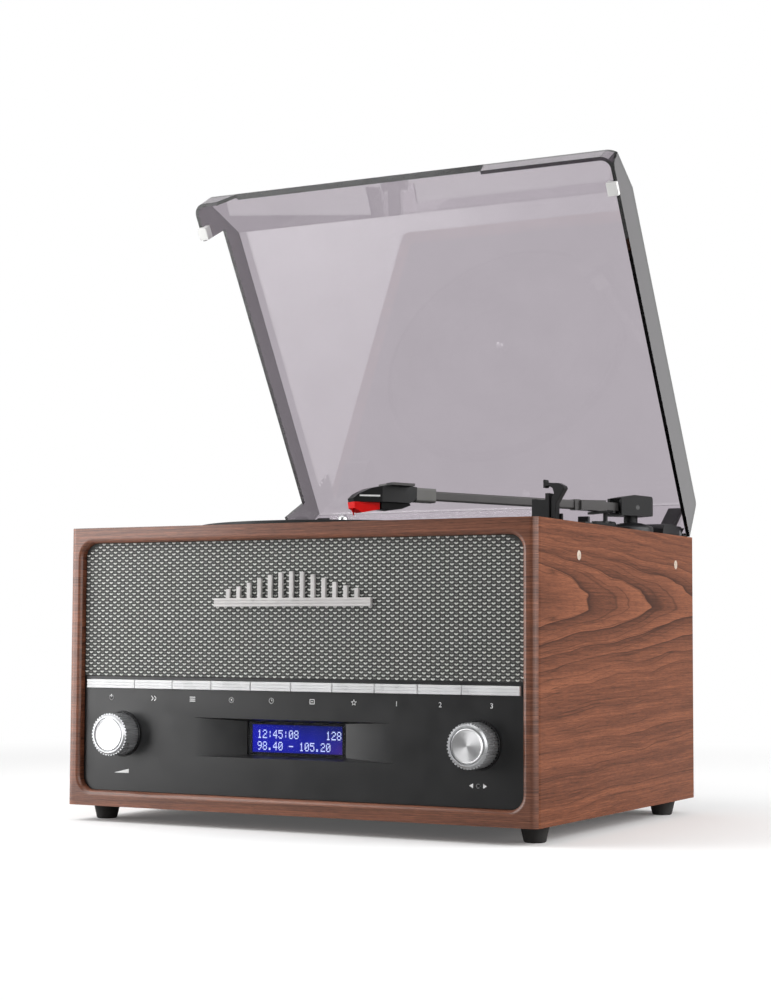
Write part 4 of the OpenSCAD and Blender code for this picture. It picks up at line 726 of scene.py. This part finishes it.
def build_arm_finish():
    """Three tones on the arm: a dark nose, a paler pad and collar, and a pale line along the nose's sides."""
    frame_here = arm_frame()
    inward = frame_here.inverted()
    head, tube = bpy.data.objects["headshell_finish"], bpy.data.objects["arm_tube_finish"]
    head.data.materials.append(NOSE)
    head.data.materials.append(TUBE)
    tube.data.materials.append(COLLAR)
    for face in head.data.polygons:
        place = inward @ face.center
        if place.z > PAD_Z:
            face.material_index = 2
        elif place.y < NOSE_L:
            face.material_index = 1
    for face in tube.data.polygons:
        if HEAD_L - 0.5 < (inward @ face.center).y < HEAD_L + COLLAR_L + 0.5:
            face.material_index = 1
    outline = [(4.4, -3.1), (17.0, -2.9), (17.0, -1.8), (4.4, -2.1)]
    corners, faces = [], []
    for side in (-1, 1):
        start = len(corners)
        for proud in (-0.1, 0.12):
            corners += [frame_here @ Vector((side * (nose_side(y) + proud), y, z)) for y, z in outline]
        walls = [(i, i + 4, (i + 1) % 4 + 4, (i + 1) % 4) for i in range(4)]
        faces += [tuple(start + i for i in f) for f in [(0, 1, 2, 3), (7, 6, 5, 4)] + walls]
    line = new_piece("headshell_line", closed_mesh("headshell_line", corners, faces), PRINT)
    attach(line, NODE_BODY["headshell"], "silver_plastic")


SIDE_SCREW_Y = (61.0, 227.0)
SIDE_SCREW_Z = 155.3


def build_screw_cups():
    """A flat pale ring around each screw in the side boards."""
    half_w = case_high.x / MM
    steps, inner, outer, proud = 32, 1.85, 2.9, 0.12
    profile = [(half_w - 0.1, inner), (half_w + proud, inner),
               (half_w + proud * 0.5, outer), (half_w - 0.1, outer)]
    turns = [math.tau * i / steps for i in range(steps)]
    shapes = []
    for side in (-1, 1):
        for y in SIDE_SCREW_Y:
            corners = [(side * x, y + r * math.cos(a), SIDE_SCREW_Z + r * math.sin(a))
                       for a in turns for x, r in profile]
            shapes.append((corners, ring_faces(steps, len(profile))))
    attach(plates("side_screw_cups", SCREW, shapes), "cabinet", NODE_SLOT["side_screws"])


def build_lid():
    lid = dressed("lid_cover", LID, 0.5, 3)
    lid.data.materials.append(LID_SHADED_ENDS)
    # The outer side walls take the darker copy of the plastic: painted shade
    for face in lid.data.polygons:
        if face.normal.x * math.copysign(1, face.center.x) > 0.6:
            face.material_index = 1


# ---- Camera, light and floor ----

def build_camera():
    """The photograph's camera: 771 x 1000 pixels, its long side on a 36 mm sensor."""
    yaw, pitch, roll = (math.radians(a) for a in (28.189, 3.962, 0.255))
    focal_pixels, picture_h = 1979.6, 1000
    forward = Vector((-math.sin(yaw) * math.cos(pitch), math.cos(yaw) * math.cos(pitch), math.sin(pitch)))
    right = Vector((math.cos(yaw), math.sin(yaw), 0))
    up = right.cross(forward)
    right, up = right * math.cos(roll) + up * math.sin(roll), up * math.cos(roll) - right * math.sin(roll)
    data = bpy.data.cameras.new("camera")
    data.sensor_width = data.sensor_height = 36
    data.sensor_fit = "AUTO"
    data.lens = focal_pixels / picture_h * 36
    data.clip_start, data.clip_end = 0.05, 60
    camera = bpy.data.objects.new("camera", data)
    turn = Matrix((right, up, -forward)).transposed().to_4x4()
    camera.matrix_world = Matrix.Translation(at(613.49, -1021.47, 106.61)) @ turn
    bpy.context.scene.collection.objects.link(camera)
    bpy.context.scene.camera = camera


def area_light(name, place, target, size, power, colour=(1, 1, 1)):
    data = bpy.data.lights.new(name, "AREA")
    data.shape = "RECTANGLE"
    data.size, data.size_y = size
    data.energy = power
    data.color = colour
    lamp = bpy.data.objects.new(name, data)
    place, target = Vector(place), Vector(target)
    aim = (target - place).to_track_quat("-Z", "Y").to_matrix().to_4x4()
    lamp.matrix_world = Matrix.Translation(place) @ aim
    bpy.context.scene.collection.objects.link(lamp)


# Brightness of the room in front on the left and right and behind the object, and of the reflected panel
ROOM_LEFT, ROOM_RIGHT, ROOM_BEHIND, PANEL = 1.3, 0.05, 0.6, 2.4


def build_lights():
    area_light("key_left", (-0.46, -0.40, 0.24), (-0.12, -0.144, 0.06), (0.45, 0.7), 3.3)
    area_light("side_right", (1.5, 0.35, 0.8), (0.15, 0, 0.1), (1.2, 1.2), 22)
    area_light("edge_strip", (1.25, -0.72, 0.35), (0.15, -0.12, 0.1), (0.10, 1.0), 1.4)
    area_light("top_soft", (-0.3, -0.5, 2.0), (0, -0.1, 0.1), (1.6, 1.6), 12)
    world = bpy.data.worlds.new("studio")
    bpy.context.scene.world = world
    world.use_nodes = True
    tree = world.node_tree
    tree.nodes.clear()

    def add(kind, inputs, **settings):
        made = tree.nodes.new("ShaderNode" + kind)
        for name, value in settings.items():
            setattr(made, name, value)
        for name, value in inputs.items():
            if isinstance(value, bpy.types.NodeSocket):
                tree.links.new(value, made.inputs[name])
            else:
                made.inputs[name].default_value = value
        return made

    path = add("LightPath", {})
    towards = add("SeparateXYZ", {0: add("TexCoord", {}).outputs["Generated"]}).outputs
    # The room in front is bright on the left and dim on the right; behind the object it is evenly pale
    left = add("MapRange", {0: towards["X"], 1: -0.58, 2: -0.47, 3: ROOM_LEFT, 4: ROOM_RIGHT},
               interpolation_type="SMOOTHSTEP").outputs[0]
    behind = add("MapRange", {0: towards["Y"], 1: -0.25, 2: 0.25, 3: 0.0, 4: 1.0},
                 interpolation_type="SMOOTHSTEP").outputs[0]
    room = add("Mix", {"Factor": behind, "A": left, "B": ROOM_BEHIND}, data_type="FLOAT").outputs[0]
    # The backdrop that reflections show ends on the right
    backdrop = add("MapRange", {0: towards["X"], 1: 0.15, 2: 0.4, 3: 1.0, 4: 0.25}).outputs[0]
    low_glow = add("MapRange", {0: towards["Z"], 1: 0.03, 2: 0.2, 3: 0.3, 4: 0.0}).outputs[0]
    room = add("Math", {0: room, 1: low_glow}, operation="ADD").outputs[0]
    gloss = add("Mix", {"Factor": behind, "A": left, "B": backdrop}, data_type="FLOAT").outputs[0]
    # A wide pale panel on the right that only reflections show
    panel = add("MapRange", {0: towards["X"], 1: 0.35, 2: 0.55, 3: 0.0, 4: PANEL},
                interpolation_type="SMOOTHSTEP").outputs[0]
    panel = add("Mix", {"Factor": behind, "A": panel, "B": 0.0}, data_type="FLOAT").outputs[0]
    gloss = add("Math", {0: gloss, 1: panel}, operation="ADD").outputs[0]
    level = add("Mix", {"Factor": path.outputs["Is Glossy Ray"], "A": room, "B": gloss},
                data_type="FLOAT").outputs[0]
    clear = add("Math", {0: path.outputs["Is Camera Ray"], 1: path.outputs["Is Transmission Ray"]},
                operation="MAXIMUM").outputs[0]
    level = add("Mix", {"Factor": clear, "A": level, "B": 1.0}, data_type="FLOAT").outputs[0]
    background = add("Background", {"Color": (1, 1, 1, 1), "Strength": level})
    add("OutputWorld", {0: background.outputs[0]})


def seen_rays(tree, path):
    """1 for rays from the camera, by reflection or through clear plastic."""
    total = path.outputs["Is Camera Ray"]
    for name in ("Is Glossy Ray", "Is Transmission Ray"):
        add = tree.nodes.new("ShaderNodeMath")
        add.operation = "MAXIMUM"
        tree.links.new(total, add.inputs[0])
        tree.links.new(path.outputs[name], add.inputs[1])
        total = add.outputs[0]
    return total


def build_floor():
    mesh = bpy.data.meshes.new("floor")
    reach, steps = 1.2, 96
    turns = [math.tau * i / steps for i in range(steps)]
    rim = [(reach * math.cos(a), reach * math.sin(a), 0) for a in turns]
    mesh.from_pydata(rim, [], [tuple(range(steps))])
    floor = new_piece("floor", mesh)
    s = Surface("floor_white", Roughness=0.9, Specular_IOR_Level=0.0)
    path = s.node("LightPath")
    seen = seen_rays(s.tree, path)
    # Away from the object the floor melts into the white background. Reflections see that behind the
    # object and near its left, where they see the floor as white; elsewhere in front it is dull to them
    spot = s.node("NewGeometry").outputs["Position"]
    away = s.node("VectorMath", {0: spot}, operation="LENGTH").outputs["Value"]
    fade = s.node("MapRange", {0: away, 1: 0.42, 2: 1.0, 3: 0.0, 4: 1.0},
                  interpolation_type="SMOOTHSTEP").outputs[0]
    parts = s.node("SeparateXYZ", {0: spot}).outputs
    behind = s.math("MAXIMUM", s.spread(parts["Y"], -0.1, 0.2, 0.0, 1.0),
                    s.math("MULTIPLY", s.spread(parts["X"], -0.26, -0.16, 1.0, 0.0),
                           s.spread(parts["Y"], -0.55, -0.45, 0.0, 1.0)))
    direct = s.math("MAXIMUM", path.outputs["Is Camera Ray"], path.outputs["Is Transmission Ray"])
    fade = s.math("MULTIPLY", fade, s.math("MAXIMUM", direct, behind))
    s.set(Base_Color=s.mix(s.math("MULTIPLY", seen, s.math("MAXIMUM", direct, behind)), grey(0.4), grey(0.92)),
          Emission_Color=grey(1.0), Emission_Strength=s.math("MULTIPLY", direct, 0.08))
    white = s.node("Emission", {0: grey(1.0), 1: 1.0})
    both = s.node("MixShader", {0: s.math("MULTIPLY", fade, seen)})
    s.link(s.shader.outputs[0], both.inputs[1])
    s.link(white.outputs[0], both.inputs[2])
    s.link(both.outputs[0], s.out.inputs[0])
    mesh.materials.append(s.material)


def build_view():
    bpy.context.scene.view_settings.view_transform = "Standard"


build_camera()
build_lights()
build_floor()
build_view()
build_case()
build_plain_parts()
build_grille()
build_display()
build_prints()
build_knob_collars()
build_lid()
build_arm_finish()
build_screw_cups()
